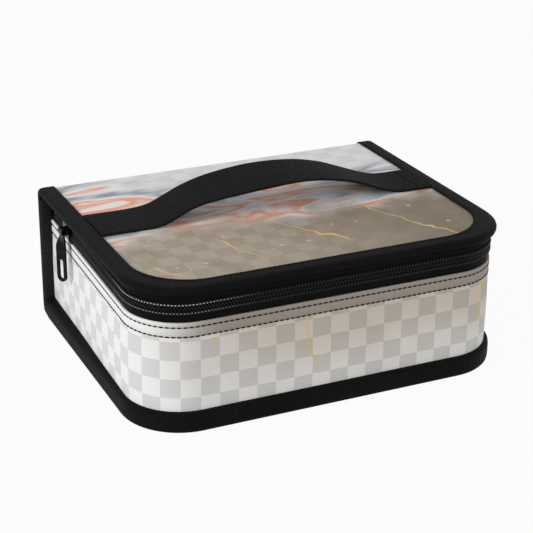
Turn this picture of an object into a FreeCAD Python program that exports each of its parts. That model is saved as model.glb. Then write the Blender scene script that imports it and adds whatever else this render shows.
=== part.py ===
import FreeCAD
import Part
import Sketcher
import math
import os

# Soft-sided makeup case: a folded cover (lid, spine and base) with bound edges, a padded wall
# round three sides, a coil zip under the lid and a webbing handle across the top.
# Millimetres. +X right, +Y to the spine, +Z up. The origin is the centre of the base's underside.

# Driving dimensions: alias, value, meaning
DIMENSIONS = [
    ("cover_width", 260, "lid and base, left to right"),
    ("cover_depth", 203, "front of the lid to the back of the spine"),
    ("case_height", 97, "base to the top of the lid's binding"),
    ("corner_radius", 40, "front corners of the lid and base"),
    ("flange", 3.5, "how far the cover's edge stands out from the wall"),
    ("wall_lean", 1.7, "degrees by which the side walls draw in towards the spine"),
    ("cover_sheet", 1.2, "printed outer sheet"),
    ("board", 2.0, "stiffening board in lid, spine and base"),
    ("lining", 0.8, "inner cloth"),
    ("foam", 3.0, "padding in the wall"),
    ("binding_width", 11.5, "visible width of the binding tape on lid and spine"),
    ("base_binding_height", 13.5, "height of the binding round the base"),
    ("binding_tape", 1.0, "thickness of the binding tape's flat legs"),
    ("binding_edge", 1.6, "thickness of the binding round the lid's edge"),
    ("binding_round", 1.4, "rounding of the binding's outer edges"),
    ("floor_gap", 0.4, "lower edge of the base binding above the floor"),
    ("fold_radius", 5.0, "outer radius of the cover's fold between lid and spine"),
    ("fold_tail", 2.0, "flat run of the fold on each side of its bend"),
    ("lid_play", 0.3, "gap between the lid's inside pieces and their neighbours"),
    ("zip_band", 18, "height of the zip between wall and lid"),
    ("zip_drop", 9, "lid's underside to the middle of the zip"),
    ("zip_end", 14, "back of the spine to the end of the zip's coils"),
    ("zip_tape", 0.7, "thickness of the zip tapes"),
    ("zip_lap", 10, "lower tape sewn behind the top of the wall"),
    ("tape_gap", 1.8, "zip's middle to the edge of each tape"),
    ("coil_height", 3.2, "height of one coil row"),
    ("coil_depth", 2.4, "how far the coils stand off the tape"),
    ("coil_gap", 1.6, "between the two coil rows"),
    ("stop_length", 4, "end stop behind each coil"),
    ("slider_run", 111, "end of the front corner to the parked slider"),
    ("slider_length", 13, "zip slider along the zip"),
    ("slider_height", 10, "zip slider across the zip"),
    ("slider_plate", 1.2, "thickness of the slider's plates"),
    ("slider_play", 0.3, "running gap between slider and coils"),
    ("slider_post", 4, "length of the post that joins the plates"),
    ("bridge_radius", 0.8, "bar that carries the pull"),
    ("bridge_foot", 2.0, "length of each foot of the bar"),
    ("eye_play", 0.3, "gap between the bar and the pull's eye"),
    ("eye_wall", 1.0, "wall of the pull's eye"),
    ("pull_length", 36, "bar to the tip of the pull"),
    ("pull_width", 8, "width of the pull"),
    ("pull_thickness", 1.4, "thickness of the pull"),
    ("pull_slot_length", 14, "slot in the pull, end to end"),
    ("pull_slot_width", 3.6, "slot in the pull, across"),
    ("handle_width", 38, "webbing of the handle"),
    ("handle_thickness", 1.8, "webbing of the handle"),
    ("handle_back", 13, "middle of the handle behind the middle of the case"),
    ("handle_flat", 40, "handle lying flat at each end"),
    ("handle_rise", 18, "top of the arch above the lid"),
    ("handle_bend", 60, "radius where the handle leaves the lid"),
    ("brush_panel_width", 190, "brush panel in the lid, left to right"),
    ("brush_panel_depth", 110, "brush panel in the lid, front to back"),
    ("brush_panel_pad", 1.5, "thickness of the brush panel"),
    ("brush_band_depth", 28, "elastic band for brushes"),
    ("brush_band_pad", 1.0, "thickness of the elastic band"),
    ("divider", 4, "thickness of a padded divider"),
    ("divider_height", 58, "height of a padded divider"),
    ("divider_play", 0.3, "gap at the ends of a divider"),
    ("long_divider_back", 92, "inside of the spine to the long divider"),
    ("front_divider_spread", 80, "between the two front dividers"),
]

doc = FreeCAD.newDocument("makeup_case")
sheet = doc.addObject("Spreadsheet::Sheet", "Dims")
for row, (alias, size, meaning) in enumerate(DIMENSIONS, start=1):
    sheet.set(f"A{row}", meaning)
    sheet.set(f"B{row}", str(size))
    sheet.setAlias(f"B{row}", alias)
doc.recompute()


def dim(alias):
    """A driving dimension, as it is written in an expression."""
    return f"Dims.{alias}"


def value(expression):
    """What an expression amounts to now, in millimetres."""
    return float(sheet.evalExpression(expression))


# Levels, from the floor up
BASE_TOP = dim("cover_sheet")
BOARD_TOP = f"({BASE_TOP} + {dim('board')})"
INSIDE_FLOOR = f"({BOARD_TOP} + {dim('lining')})"
LID_EDGE = f"(2 * {dim('binding_tape')} + {dim('cover_sheet')} + {dim('board')} + {dim('lining')})"
LID_TOP = f"({dim('case_height')} - {dim('binding_tape')})"
LID_UNDERSIDE = f"({dim('case_height')} - {LID_EDGE})"
LID_LINING_BOTTOM = f"({LID_UNDERSIDE} + {dim('binding_tape')})"
LID_BOARD_BOTTOM = f"({LID_LINING_BOTTOM} + {dim('lining')})"
LID_SHEET_BOTTOM = f"({LID_BOARD_BOTTOM} + {dim('board')})"
WALL_TOP = f"({LID_UNDERSIDE} - {dim('zip_band')})"
ZIP_MIDDLE = f"({LID_UNDERSIDE} - {dim('zip_drop')})"
HINGE_Z = f"({LID_TOP} - {dim('fold_radius')})"
SPINE_TOP = f"({HINGE_Z} - {dim('fold_tail')})"

# Places along Y
BACK = f"({dim('cover_depth')} / 2)"
SHEET_BACK = f"({BACK} - {dim('binding_tape')})"
BOARD_BACK = f"({SHEET_BACK} - {dim('cover_sheet')} - {dim('board')})"
INSIDE_BACK = f"({BOARD_BACK} - {dim('lining')})"
HINGE_Y = f"({SHEET_BACK} - {dim('fold_radius')})"
LID_BACK = f"({HINGE_Y} - {dim('fold_tail')})"
COIL_BACK = f"({BACK} - {dim('zip_end')})"

# Insets from the cover's edge, going inwards through the wall
WALL_OUT = dim("flange")
TAPE_OUT = f"({WALL_OUT} + {dim('cover_sheet')})"
FOAM_OUT = f"({TAPE_OUT} + {dim('zip_tape')})"
LINING_OUT = f"({FOAM_OUT} + {dim('foam')})"
INSIDE = f"({LINING_OUT} + {dim('lining')})"
COIL_OUT = f"({TAPE_OUT} - {dim('coil_depth')})"


# The side walls lean in towards the spine; the lid and the base stay square
LEAN = f"({dim('wall_lean')} * 1 deg)"
SQUARE = "(0 * 1 deg)"


def half_width(inset):
    return f"({dim('cover_width')} / 2 - {inset})"


def front(inset):
    """Distance of the front from the middle, as a positive number."""
    return f"({dim('cover_depth')} / 2 - {inset})"


def corner(inset):
    return f"({dim('corner_radius')} - {inset})"


CORNER_X = half_width(dim("corner_radius"))
CORNER_Y = front(dim("corner_radius"))


def lean_half_width(inset, y):
    """Half width between the leaning walls at a place along Y."""
    return f"({CORNER_X} + {corner(inset)} / cos({LEAN}) - ({y} + {CORNER_Y}) * tan({LEAN}))"


def new_body(name):
    body = doc.addObject("PartDesign::Body", name)
    body.Label = name
    return body


def new_sketch(body, plane, offset):
    """A sketch on one of the body's own planes, moved along the plane's normal."""
    sketch = body.newObject("Sketcher::SketchObject", f"{body.Name}_sketch")
    support = [f for f in body.Origin.OriginFeatures if f.Role == plane][0]
    sketch.AttachmentSupport = [(support, "")]
    sketch.MapMode = "FlatFace"
    sketch.setExpression("AttachmentOffset.Base.z", offset)
    return sketch


def tie(sketch, kind, *places):
    sketch.addConstraint(Sketcher.Constraint(kind, *places))


def bind(sketch, kind, places, expression):
    """Adds a dimension to a sketch and ties it to an expression."""
    size = value(expression)
    if kind == "Angle":
        size = math.radians(size)
    index = sketch.addConstraint(Sketcher.Constraint(kind, *places, size))
    sketch.setExpression(f"Constraints[{index}]", expression)


def pad(body, sketch, length, symmetric=False):
    feature = body.newObject("PartDesign::Pad", f"{body.Name}_pad")
    feature.Profile = sketch
    feature.setExpression("Length", length)
    feature.Midplane = symmetric
    sketch.Visibility = False
    return feature


def add_segment(sketch, start, end):
    return sketch.addGeometry(Part.LineSegment(FreeCAD.Vector(*start, 0), FreeCAD.Vector(*end, 0)))


def add_arc(sketch, centre, radius, first_angle, last_angle):
    circle = Part.Circle(FreeCAD.Vector(*centre, 0), FreeCAD.Vector(0, 0, 1), radius)
    return sketch.addGeometry(Part.ArcOfCircle(circle, first_angle, last_angle))


def add_joined_line(sketch, geometry_a, end_a, geometry_b, end_b):
    """A line between two ends that are already in the sketch."""
    ends = sketch.getPoint(geometry_a, end_a), sketch.getPoint(geometry_b, end_b)
    line = sketch.addGeometry(Part.LineSegment(*ends))
    tie(sketch, "Coincident", line, 1, geometry_a, end_a)
    tie(sketch, "Coincident", line, 2, geometry_b, end_b)
    return line


def add_run(sketch, inset, back, lean):
    """Left side, front and right side of the plan with round front corners. Returns the first line."""
    x, y, r, b = (value(e) for e in (CORNER_X, CORNER_Y, corner(inset), back))
    turn = math.radians(value(lean))
    side_x = x + r * math.cos(turn)
    side_y = r * math.sin(turn) - y
    back_x = side_x - (b - side_y) * math.tan(turn)
    first = add_segment(sketch, (-side_x, side_y), (-back_x, b))
    add_arc(sketch, (-x, -y), r, math.pi - turn, 1.5 * math.pi)
    add_segment(sketch, (-x, -y - r), (x, -y - r))
    add_arc(sketch, (x, -y), r, 1.5 * math.pi, 2 * math.pi + turn)
    add_segment(sketch, (side_x, side_y), (back_x, b))
    tie(sketch, "Tangent", first, 1, first + 1, 1)
    tie(sketch, "Tangent", first + 1, 2, first + 2, 1)
    tie(sketch, "Tangent", first + 2, 2, first + 3, 1)
    tie(sketch, "Tangent", first + 3, 2, first + 4, 1)
    tie(sketch, "Horizontal", first + 2)
    tie(sketch, "Equal", first + 1, first + 3)
    tie(sketch, "Symmetric", first, 2, first + 4, 2, -2)
    bind(sketch, "Radius", (first + 1,), corner(inset))
    bind(sketch, "DistanceX", (first + 1, 3, -1, 1), CORNER_X)
    bind(sketch, "DistanceX", (-1, 1, first + 3, 3), CORNER_X)
    bind(sketch, "DistanceY", (first + 2, 1, -1, 1), front(inset))
    bind(sketch, "Angle", (first,), f"90 deg - {lean}")
    bind(sketch, "DistanceY", (-1, 1, first, 2), back)
    return first


def add_plate(body, inset, back, bottom, thickness, lean):
    """A flat sheet with the plan of the case."""
    sketch = new_sketch(body, "XY_Plane", bottom)
    first = add_run(sketch, inset, back, lean)
    add_joined_line(sketch, first + 4, 2, first, 2)
    return pad(body, sketch, thickness)


def add_strip(body, outer, inner, back, bottom, height):
    """A strip round the left, front and right. Outer and inner are an inset and a lean."""
    sketch = new_sketch(body, "XY_Plane", bottom)
    outside = add_run(sketch, outer[0], back, outer[1])
    inside = add_run(sketch, inner[0], back, inner[1])
    add_joined_line(sketch, inside, 2, outside, 2)
    add_joined_line(sketch, inside + 4, 2, outside + 4, 2)
    return pad(body, sketch, height)


SAME_PLACE = 1e-6  # two places that lie closer than this are one


def round_edges(body, feature, levels, radius):
    """Rounds the outer edges of a square strip at the given levels."""
    doc.recompute()
    reach = value(half_width("0"))
    depth = value(front("0"))
    heights = [value(level) for level in levels]
    names = []
    for number, edge in enumerate(feature.Shape.Edges, start=1):
        box = edge.BoundBox
        flat = box.ZLength < SAME_PLACE and any(abs(box.ZMin - z) < SAME_PLACE for z in heights)
        outside = abs(box.XMin + reach) < SAME_PLACE or abs(box.XMax - reach) < SAME_PLACE
        along_side = outside and box.YLength > SAME_PLACE
        along_front = abs(box.YMin + depth) < SAME_PLACE
        if flat and (along_side or along_front):
            names.append(f"Edge{number}")
    fillet = body.newObject("PartDesign::Fillet", f"{body.Name}_fillet")
    fillet.Base = (feature, names)
    fillet.setExpression("Radius", radius)
    body.Tip = fillet


def place(obj, x, y, z):
    for axis, expression in zip("xyz", (x, y, z)):
        obj.setExpression(f"Placement.Base.{axis}", expression)


def place_on_side(obj, side, inset, run, level):
    """Sets an object on a leaning wall: run is measured from the front corner to the back."""
    sign = "-" if side == "left" else ""
    reach = f"({CORNER_X} + {corner(inset)} * cos({LEAN}) - {run} * sin({LEAN}))"
    along = f"{corner(inset)} * sin({LEAN}) + {run} * cos({LEAN}) - {CORNER_Y}"
    place(obj, f"{sign}{reach}", along, level)
    obj.setExpression("Placement.Rotation.Angle", f"{sign}{LEAN}")


def add_box(name, size, corner_at):
    """A block with its lowest corner at the given place."""
    box = doc.addObject("Part::Box", name)
    box.Label = name
    for prop, expression in zip(("Length", "Width", "Height"), size):
        box.setExpression(prop, expression)
    place(box, *corner_at)
    return box


# Base: the cover's lower panel, its board and the lining that is the floor inside
base_panel = new_body("base_panel")
add_plate(base_panel, WALL_OUT, SHEET_BACK, "0", dim("cover_sheet"), LEAN)
base_board = new_body("base_board")
add_plate(base_board, TAPE_OUT, BOARD_BACK, BASE_TOP, dim("board"), LEAN)
base_lining = new_body("base_lining")
add_plate(base_lining, INSIDE, INSIDE_BACK, BOARD_TOP, dim("lining"), LEAN)

# Spine: the cover's back panel, its board and lining, one in front of the other
SPINE_HALF = half_width(dim("binding_edge"))
add_box(
    "spine_panel",
    (f"2 * {SPINE_HALF}", dim("cover_sheet"), f"{SPINE_TOP} - {BASE_TOP}"),
    (f"-{SPINE_HALF}", f"{SHEET_BACK} - {dim('cover_sheet')}", BASE_TOP),
)
add_box(
    "spine_board",
    (f"2 * {SPINE_HALF}", dim("board"), f"{SPINE_TOP} - {BASE_TOP}"),
    (f"-{SPINE_HALF}", BOARD_BACK, BASE_TOP),
)
add_box(
    "spine_lining",
    (f"2 * {SPINE_HALF}", dim("lining"), f"{SPINE_TOP} - {BOARD_TOP}"),
    (f"-{SPINE_HALF}", INSIDE_BACK, BOARD_TOP),
)

# Wall: printed strip outside, foam and lining inside, standing on the base
wall_panel = new_body("wall_panel")
wall_faces = (WALL_OUT, LEAN), (TAPE_OUT, LEAN)
add_strip(wall_panel, *wall_faces, INSIDE_BACK, BASE_TOP, f"{WALL_TOP} - {BASE_TOP}")
wall_foam = new_body("wall_foam")
foam_faces = (FOAM_OUT, LEAN), (LINING_OUT, LEAN)
add_strip(wall_foam, *foam_faces, INSIDE_BACK, BOARD_TOP, f"{WALL_TOP} - {BOARD_TOP}")
wall_lining = new_body("wall_lining")
lining_faces = (LINING_OUT, LEAN), (INSIDE, LEAN)
add_strip(wall_lining, *lining_faces, INSIDE_BACK, BOARD_TOP, f"{WALL_TOP} - {BOARD_TOP}")

# Binding of the seam between base and wall
BINDING_TOP = f"({dim('floor_gap')} + {dim('base_binding_height')})"
FIN_FRONT = f"({INSIDE_BACK} - {dim('binding_tape')})"
base_binding = new_body("base_binding")
base_faces = ("0", SQUARE), (WALL_OUT, LEAN)
base_band = add_strip(base_binding, *base_faces, FIN_FRONT, dim("floor_gap"), dim("base_binding_height"))
round_edges(base_binding, base_band, (BINDING_TOP,), dim("binding_round"))

# Binding of the two upright edges of the spine: a leg on each face and one round the edge
FIN_LEG = f"({half_width('0')} - {lean_half_width(WALL_OUT, INSIDE_BACK)} - {dim('lid_play')})"
FIN_HEIGHT = f"{SPINE_TOP} - {dim('floor_gap')}"
for side in ("left", "right"):
    at_left = side == "left"
    front_x = f"-{half_width('0')}" if at_left else f"{half_width('0')} - {FIN_LEG}"
    back_x = f"-{half_width('0')}" if at_left else half_width(dim("binding_width"))
    edge_x = f"-{half_width('0')}" if at_left else half_width(dim("binding_edge"))
    front_leg = add_box(
        f"fin_front_{side}",
        (FIN_LEG, dim("binding_tape"), FIN_HEIGHT),
        (front_x, FIN_FRONT, dim("floor_gap")),
    )
    back_leg = add_box(
        f"fin_back_{side}",
        (dim("binding_width"), dim("binding_tape"), FIN_HEIGHT),
        (back_x, SHEET_BACK, dim("floor_gap")),
    )
    edge_leg = add_box(
        f"fin_edge_{side}",
        (dim("binding_edge"), f"{BACK} - {FIN_FRONT}", FIN_HEIGHT),
        (edge_x, FIN_FRONT, dim("floor_gap")),
    )
    spine_binding = doc.addObject("Part::MultiFuse", f"spine_binding_{side}")
    spine_binding.Label = f"spine_binding_{side}"
    spine_binding.Shapes = [front_leg, back_leg, edge_leg]

# Lower half of the zip, sewn behind the top of the wall, with the stops that end the coil
LOWER_TAPE_BOTTOM = f"({WALL_TOP} - {dim('zip_lap')})"
LOWER_TAPE_HEIGHT = f"{ZIP_MIDDLE} - {dim('tape_gap')} - {LOWER_TAPE_BOTTOM}"
tape_faces = (TAPE_OUT, LEAN), (FOAM_OUT, LEAN)
lower_zip_tape = new_body("lower_zip_tape")
add_strip(lower_zip_tape, *tape_faces, INSIDE_BACK, LOWER_TAPE_BOTTOM, LOWER_TAPE_HEIGHT)
LOWER_COIL_BOTTOM = f"({ZIP_MIDDLE} - {dim('coil_gap')} / 2 - {dim('coil_height')})"
UPPER_COIL_BOTTOM = f"({ZIP_MIDDLE} + {dim('coil_gap')} / 2)"
coil_faces = (COIL_OUT, LEAN), (TAPE_OUT, LEAN)
lower_zip_coil = new_body("lower_zip_coil")
add_strip(lower_zip_coil, *coil_faces, COIL_BACK, LOWER_COIL_BOTTOM, dim("coil_height"))
STOP_RUN = f"(({COIL_BACK} + {CORNER_Y}) / cos({LEAN}))"
stops = []
for side, inset in (("left", COIL_OUT), ("right", TAPE_OUT)):
    stop = doc.addObject("Part::Box", f"zip_stop_{side}")
    stop.setExpression("Length", dim("coil_depth"))
    stop.setExpression("Width", dim("stop_length"))
    stop.setExpression("Height", dim("coil_height"))
    place_on_side(stop, side, inset, STOP_RUN, LOWER_COIL_BOTTOM)
    stops.append(stop)
zip_end_stops = doc.addObject("Part::Compound", "zip_end_stops")
zip_end_stops.Label = "zip_end_stops"
zip_end_stops.Links = stops

# Lid: printed panel, board and lining, bound together round three edges
lid_panel = new_body("lid_panel")
add_plate(lid_panel, dim("binding_edge"), LID_BACK, LID_SHEET_BOTTOM, dim("cover_sheet"), SQUARE)
lid_board = new_body("lid_board")
add_plate(lid_board, dim("binding_edge"), LID_BACK, LID_BOARD_BOTTOM, dim("board"), SQUARE)
lid_lining = new_body("lid_lining")
add_plate(lid_lining, dim("binding_edge"), LID_BACK, LID_LINING_BOTTOM, dim("lining"), SQUARE)
leg_faces = ("0", SQUARE), (dim("binding_width"), SQUARE)
edge_faces = ("0", SQUARE), (dim("binding_edge"), SQUARE)
lid_binding = new_body("lid_binding")
add_strip(lid_binding, *leg_faces, LID_BACK, LID_UNDERSIDE, dim("binding_tape"))
add_strip(lid_binding, *edge_faces, LID_BACK, LID_UNDERSIDE, LID_EDGE)
top_leg = add_strip(lid_binding, *leg_faces, LID_BACK, LID_TOP, dim("binding_tape"))
round_edges(lid_binding, top_leg, (LID_UNDERSIDE, dim("case_height")), dim("binding_round"))

# Upper half of the zip, hanging from the lid's bound edge
UPPER_TAPE_BACK = f"({FIN_FRONT} - {dim('lid_play')})"
UPPER_TAPE_BOTTOM = f"({ZIP_MIDDLE} + {dim('tape_gap')})"
UPPER_TAPE_HEIGHT = f"{LID_UNDERSIDE} - {UPPER_TAPE_BOTTOM}"
upper_zip_tape = new_body("upper_zip_tape")
add_strip(upper_zip_tape, *tape_faces, UPPER_TAPE_BACK, UPPER_TAPE_BOTTOM, UPPER_TAPE_HEIGHT)
upper_zip_coil = new_body("upper_zip_coil")
add_strip(upper_zip_coil, *coil_faces, COIL_BACK, UPPER_COIL_BOTTOM, dim("coil_height"))

# Brush panel and its elastic band, under the lining of the lid
BRUSH_LEFT = f"-{dim('brush_panel_width')} / 2"
BRUSH_BOTTOM = f"({LID_LINING_BOTTOM} - {dim('brush_panel_pad')})"
add_box(
    "brush_panel",
    (dim("brush_panel_width"), dim("brush_panel_depth"), dim("brush_panel_pad")),
    (BRUSH_LEFT, f"-{dim('brush_panel_depth')} / 2", BRUSH_BOTTOM),
)
add_box(
    "brush_band",
    (dim("brush_panel_width"), dim("brush_band_depth"), dim("brush_band_pad")),
    (BRUSH_LEFT, f"-{dim('brush_band_depth')} / 2", f"{BRUSH_BOTTOM} - {dim('brush_band_pad')}"),
)


def add_fold(name, inner, outer, left, length):
    """A quarter bend of sheet about the lid's fold, with a flat tail at each end."""
    body = new_body(name)
    sketch = new_sketch(body, "YZ_Plane", left)
    y, z, tail = (value(e) for e in (HINGE_Y, HINGE_Z, dim("fold_tail")))
    runs = []
    for radius in (outer, inner):
        r = value(radius)
        first = add_segment(sketch, (y - tail, z + r), (y, z + r))
        add_arc(sketch, (y, z), r, 0, 0.5 * math.pi)
        add_segment(sketch, (y + r, z), (y + r, z - tail))
        tie(sketch, "Tangent", first, 2, first + 1, 2)
        tie(sketch, "Tangent", first + 1, 1, first + 2, 1)
        tie(sketch, "Horizontal", first)
        tie(sketch, "Vertical", first + 2)
        bind(sketch, "Radius", (first + 1,), radius)
        bind(sketch, "DistanceX", (-1, 1, first + 1, 3), HINGE_Y)
        bind(sketch, "DistanceY", (-1, 1, first + 1, 3), HINGE_Z)
        bind(sketch, "DistanceX", (first, 1, first, 2), dim("fold_tail"))
        bind(sketch, "DistanceY", (first + 2, 2, first + 2, 1), dim("fold_tail"))
        runs.append(first)
    add_joined_line(sketch, runs[0], 1, runs[1], 1)
    add_joined_line(sketch, runs[0] + 2, 2, runs[1] + 2, 2)
    pad(body, sketch, length)


# Fold: the cover's bend between lid and spine, and the binding that follows it at each end
FOLD_INNER = f"({dim('fold_radius')} - {dim('cover_sheet')})"
FOLD_OUTER = f"({dim('fold_radius')} + {dim('binding_tape')})"
add_fold("hinge_fold", FOLD_INNER, dim("fold_radius"), f"-{SPINE_HALF}", f"2 * {SPINE_HALF}")
for side, left in (("left", f"-{half_width('0')}"), ("right", half_width(dim("binding_width")))):
    add_fold(f"fold_binding_{side}", dim("fold_radius"), FOLD_OUTER, left, dim("binding_width"))

# Handle: one strip of webbing, flat at both ends and arched between them
HANDLE_END = half_width(dim("binding_width"))
ARCH_HALF = f"({HANDLE_END} - {dim('handle_flat')})"
ARCH_RADII = f"(({ARCH_HALF} ^ 2 + {dim('handle_rise')} ^ 2) / (2 * {dim('handle_rise')}))"
handle_strap = new_body("handle_strap")
handle_sketch = new_sketch(handle_strap, "XZ_Plane", f"-{dim('handle_back')}")
handle_faces = []
for level, bend_radius, crown_radius in (
    (LID_TOP, dim("handle_bend"), f"({ARCH_RADII} - {dim('handle_bend')})"),
    (
        f"({LID_TOP} + {dim('handle_thickness')})",
        f"({dim('handle_bend')} - {dim('handle_thickness')})",
        f"({ARCH_RADII} - {dim('handle_bend')} + {dim('handle_thickness')})",
    ),
):
    z, bend, crown = (value(e) for e in (level, bend_radius, crown_radius))
    end, half, rise = (value(e) for e in (HANDLE_END, ARCH_HALF, dim("handle_rise")))
    turn = 2 * math.atan(rise / half)
    crown_z = z + rise - crown
    face = add_segment(handle_sketch, (-end, z), (-half, z))
    add_arc(handle_sketch, (-half, z + bend), bend, 1.5 * math.pi, 1.5 * math.pi + turn)
    add_arc(handle_sketch, (0, crown_z), crown, 0.5 * math.pi - turn, 0.5 * math.pi + turn)
    add_arc(handle_sketch, (half, z + bend), bend, 1.5 * math.pi - turn, 1.5 * math.pi)
    add_segment(handle_sketch, (half, z), (end, z))
    tie(handle_sketch, "Tangent", face, 2, face + 1, 1)
    tie(handle_sketch, "Tangent", face + 1, 2, face + 2, 2)
    tie(handle_sketch, "Tangent", face + 2, 1, face + 3, 1)
    tie(handle_sketch, "Tangent", face + 3, 2, face + 4, 1)
    tie(handle_sketch, "Horizontal", face)
    tie(handle_sketch, "Horizontal", face + 4)
    tie(handle_sketch, "Symmetric", face, 1, face + 4, 2, -2)
    tie(handle_sketch, "Equal", face + 1, face + 3)
    tie(handle_sketch, "Equal", face, face + 4)
    bind(handle_sketch, "Radius", (face + 1,), bend_radius)
    bind(handle_sketch, "Radius", (face + 2,), crown_radius)
    bind(handle_sketch, "DistanceX", (face, 1, face, 2), dim("handle_flat"))
    bind(handle_sketch, "DistanceX", (face, 1, -1, 1), HANDLE_END)
    bind(handle_sketch, "DistanceY", (-1, 1, face, 1), level)
    handle_faces.append(face)
add_joined_line(handle_sketch, handle_faces[0], 1, handle_faces[1], 1)
add_joined_line(handle_sketch, handle_faces[0] + 4, 2, handle_faces[1] + 4, 2)
pad(handle_strap, handle_sketch, dim("handle_width"), symmetric=True)

# Slider: a plate on each side of the zip, a post between the coils and a bar for the pull
EYE_RADIUS = f"({dim('bridge_radius')} + {dim('eye_play')} + {dim('eye_wall')})"
PLATE_INNER = f"({dim('coil_depth')} + {dim('slider_play')})"
PLATE_OUTER = f"({PLATE_INNER} + {dim('slider_plate')})"
BAR_OUT = f"({PLATE_OUTER} + {EYE_RADIUS} + {dim('eye_play')})"
SLIDER_HALF = f"({dim('slider_length')} / 2)"
BACK_PLATE = f"({dim('zip_tape')} + {dim('slider_play')})"
outer_plate = add_box(
    "slider_outer_plate",
    (dim("slider_plate"), dim("slider_length"), dim("slider_height")),
    (f"-{PLATE_OUTER}", f"-{SLIDER_HALF}", f"-{dim('slider_height')} / 2"),
)
inner_plate = add_box(
    "slider_inner_plate",
    (dim("slider_plate"), dim("slider_length"), dim("slider_height")),
    (BACK_PLATE, f"-{SLIDER_HALF}", f"-{dim('slider_height')} / 2"),
)
POST_HEIGHT = f"({dim('coil_gap')} - 2 * {dim('slider_play')})"
post = add_box(
    "slider_middle_post",
    (f"{PLATE_INNER} + {BACK_PLATE}", dim("slider_post"), POST_HEIGHT),
    (f"-{PLATE_INNER}", f"-{dim('slider_post')} / 2", f"-{POST_HEIGHT} / 2"),
)
feet = [
    add_box(
        f"slider_foot_{end}",
        (f"{BAR_OUT} - {PLATE_OUTER}", dim("bridge_foot"), f"2 * {dim('bridge_radius')}"),
        (f"-{BAR_OUT}", y, f"-{dim('bridge_radius')}"),
    )
    for end, y in (("front", f"-{SLIDER_HALF}"), ("back", f"{SLIDER_HALF} - {dim('bridge_foot')}"))
]
bar = doc.addObject("Part::Cylinder", "slider_bar")
bar.setExpression("Radius", dim("bridge_radius"))
bar.setExpression("Height", dim("slider_length"))
bar.Placement = FreeCAD.Placement(FreeCAD.Vector(), FreeCAD.Rotation(FreeCAD.Vector(1, 0, 0), -90))
place(bar, f"-{BAR_OUT}", f"-{SLIDER_HALF}", "0")
zip_slider = doc.addObject("Part::MultiFuse", "zip_slider")
zip_slider.Label = "zip_slider"
zip_slider.Shapes = [outer_plate, inner_plate, post, bar] + feet
place_on_side(zip_slider, "left", TAPE_OUT, dim("slider_run"), ZIP_MIDDLE)

# Pull: an eye round the slider's bar and a flat tongue with a long slot
zip_pull = new_body("zip_pull")
eye_sketch = new_sketch(zip_pull, "XZ_Plane", "0")
for radius in (f"({dim('bridge_radius')} + {dim('eye_play')})", EYE_RADIUS):
    middle = FreeCAD.Vector(-value(BAR_OUT), 0, 0)
    ring = eye_sketch.addGeometry(Part.Circle(middle, FreeCAD.Vector(0, 0, 1), value(radius)))
    tie(eye_sketch, "PointOnObject", ring, 3, -1)
    bind(eye_sketch, "Radius", (ring,), radius)
    bind(eye_sketch, "DistanceX", (ring, 3, -1, 1), BAR_OUT)
EYE_LENGTH = f"{dim('slider_length')} - 2 * {dim('bridge_foot')} - 2 * {dim('eye_play')}"
pad(zip_pull, eye_sketch, EYE_LENGTH, symmetric=True)
tongue = new_sketch(zip_pull, "YZ_Plane", f"-{BAR_OUT} - {dim('pull_thickness')} / 2")
TONGUE_TOP = f"({EYE_RADIUS} - {dim('eye_wall')} / 2)"
TIP_RADIUS = f"({dim('pull_width')} / 2)"
TIP_CENTRE = f"({dim('pull_length')} - {TIP_RADIUS})"
SLOT_RADIUS = f"({dim('pull_slot_width')} / 2)"
SLOT_SPAN = f"({dim('pull_slot_length')} - {dim('pull_slot_width')})"
w, top, low, span, s = (value(e) for e in (TIP_RADIUS, TONGUE_TOP, TIP_CENTRE, SLOT_SPAN, SLOT_RADIUS))
left_edge = add_segment(tongue, (-w, -top), (-w, -low))
tip = add_arc(tongue, (0, -low), w, math.pi, 2 * math.pi)
right_edge = add_segment(tongue, (w, -low), (w, -top))
tie(tongue, "Tangent", left_edge, 2, tip, 1)
tie(tongue, "Tangent", tip, 2, right_edge, 1)
top_edge = add_joined_line(tongue, right_edge, 2, left_edge, 1)
tie(tongue, "Vertical", left_edge)
tie(tongue, "Horizontal", top_edge)
tie(tongue, "PointOnObject", tip, 3, -2)
bind(tongue, "Radius", (tip,), TIP_RADIUS)
bind(tongue, "DistanceY", (tip, 3, -1, 1), TIP_CENTRE)
bind(tongue, "DistanceY", (left_edge, 1, -1, 1), TONGUE_TOP)
slot_left = add_segment(tongue, (-s, span - low), (-s, -low))
slot_low = add_arc(tongue, (0, -low), s, math.pi, 2 * math.pi)
slot_right = add_segment(tongue, (s, -low), (s, span - low))
slot_high = add_arc(tongue, (0, span - low), s, 0, math.pi)
tie(tongue, "Tangent", slot_left, 2, slot_low, 1)
tie(tongue, "Tangent", slot_low, 2, slot_right, 1)
tie(tongue, "Tangent", slot_right, 2, slot_high, 1)
tie(tongue, "Tangent", slot_high, 2, slot_left, 1)
tie(tongue, "Vertical", slot_left)
tie(tongue, "Coincident", slot_low, 3, tip, 3)
bind(tongue, "Radius", (slot_low,), SLOT_RADIUS)
bind(tongue, "DistanceY", (slot_low, 3, slot_high, 3), SLOT_SPAN)
pad(zip_pull, tongue, dim("pull_thickness"))
place_on_side(zip_pull, "left", TAPE_OUT, dim("slider_run"), ZIP_MIDDLE)

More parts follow.
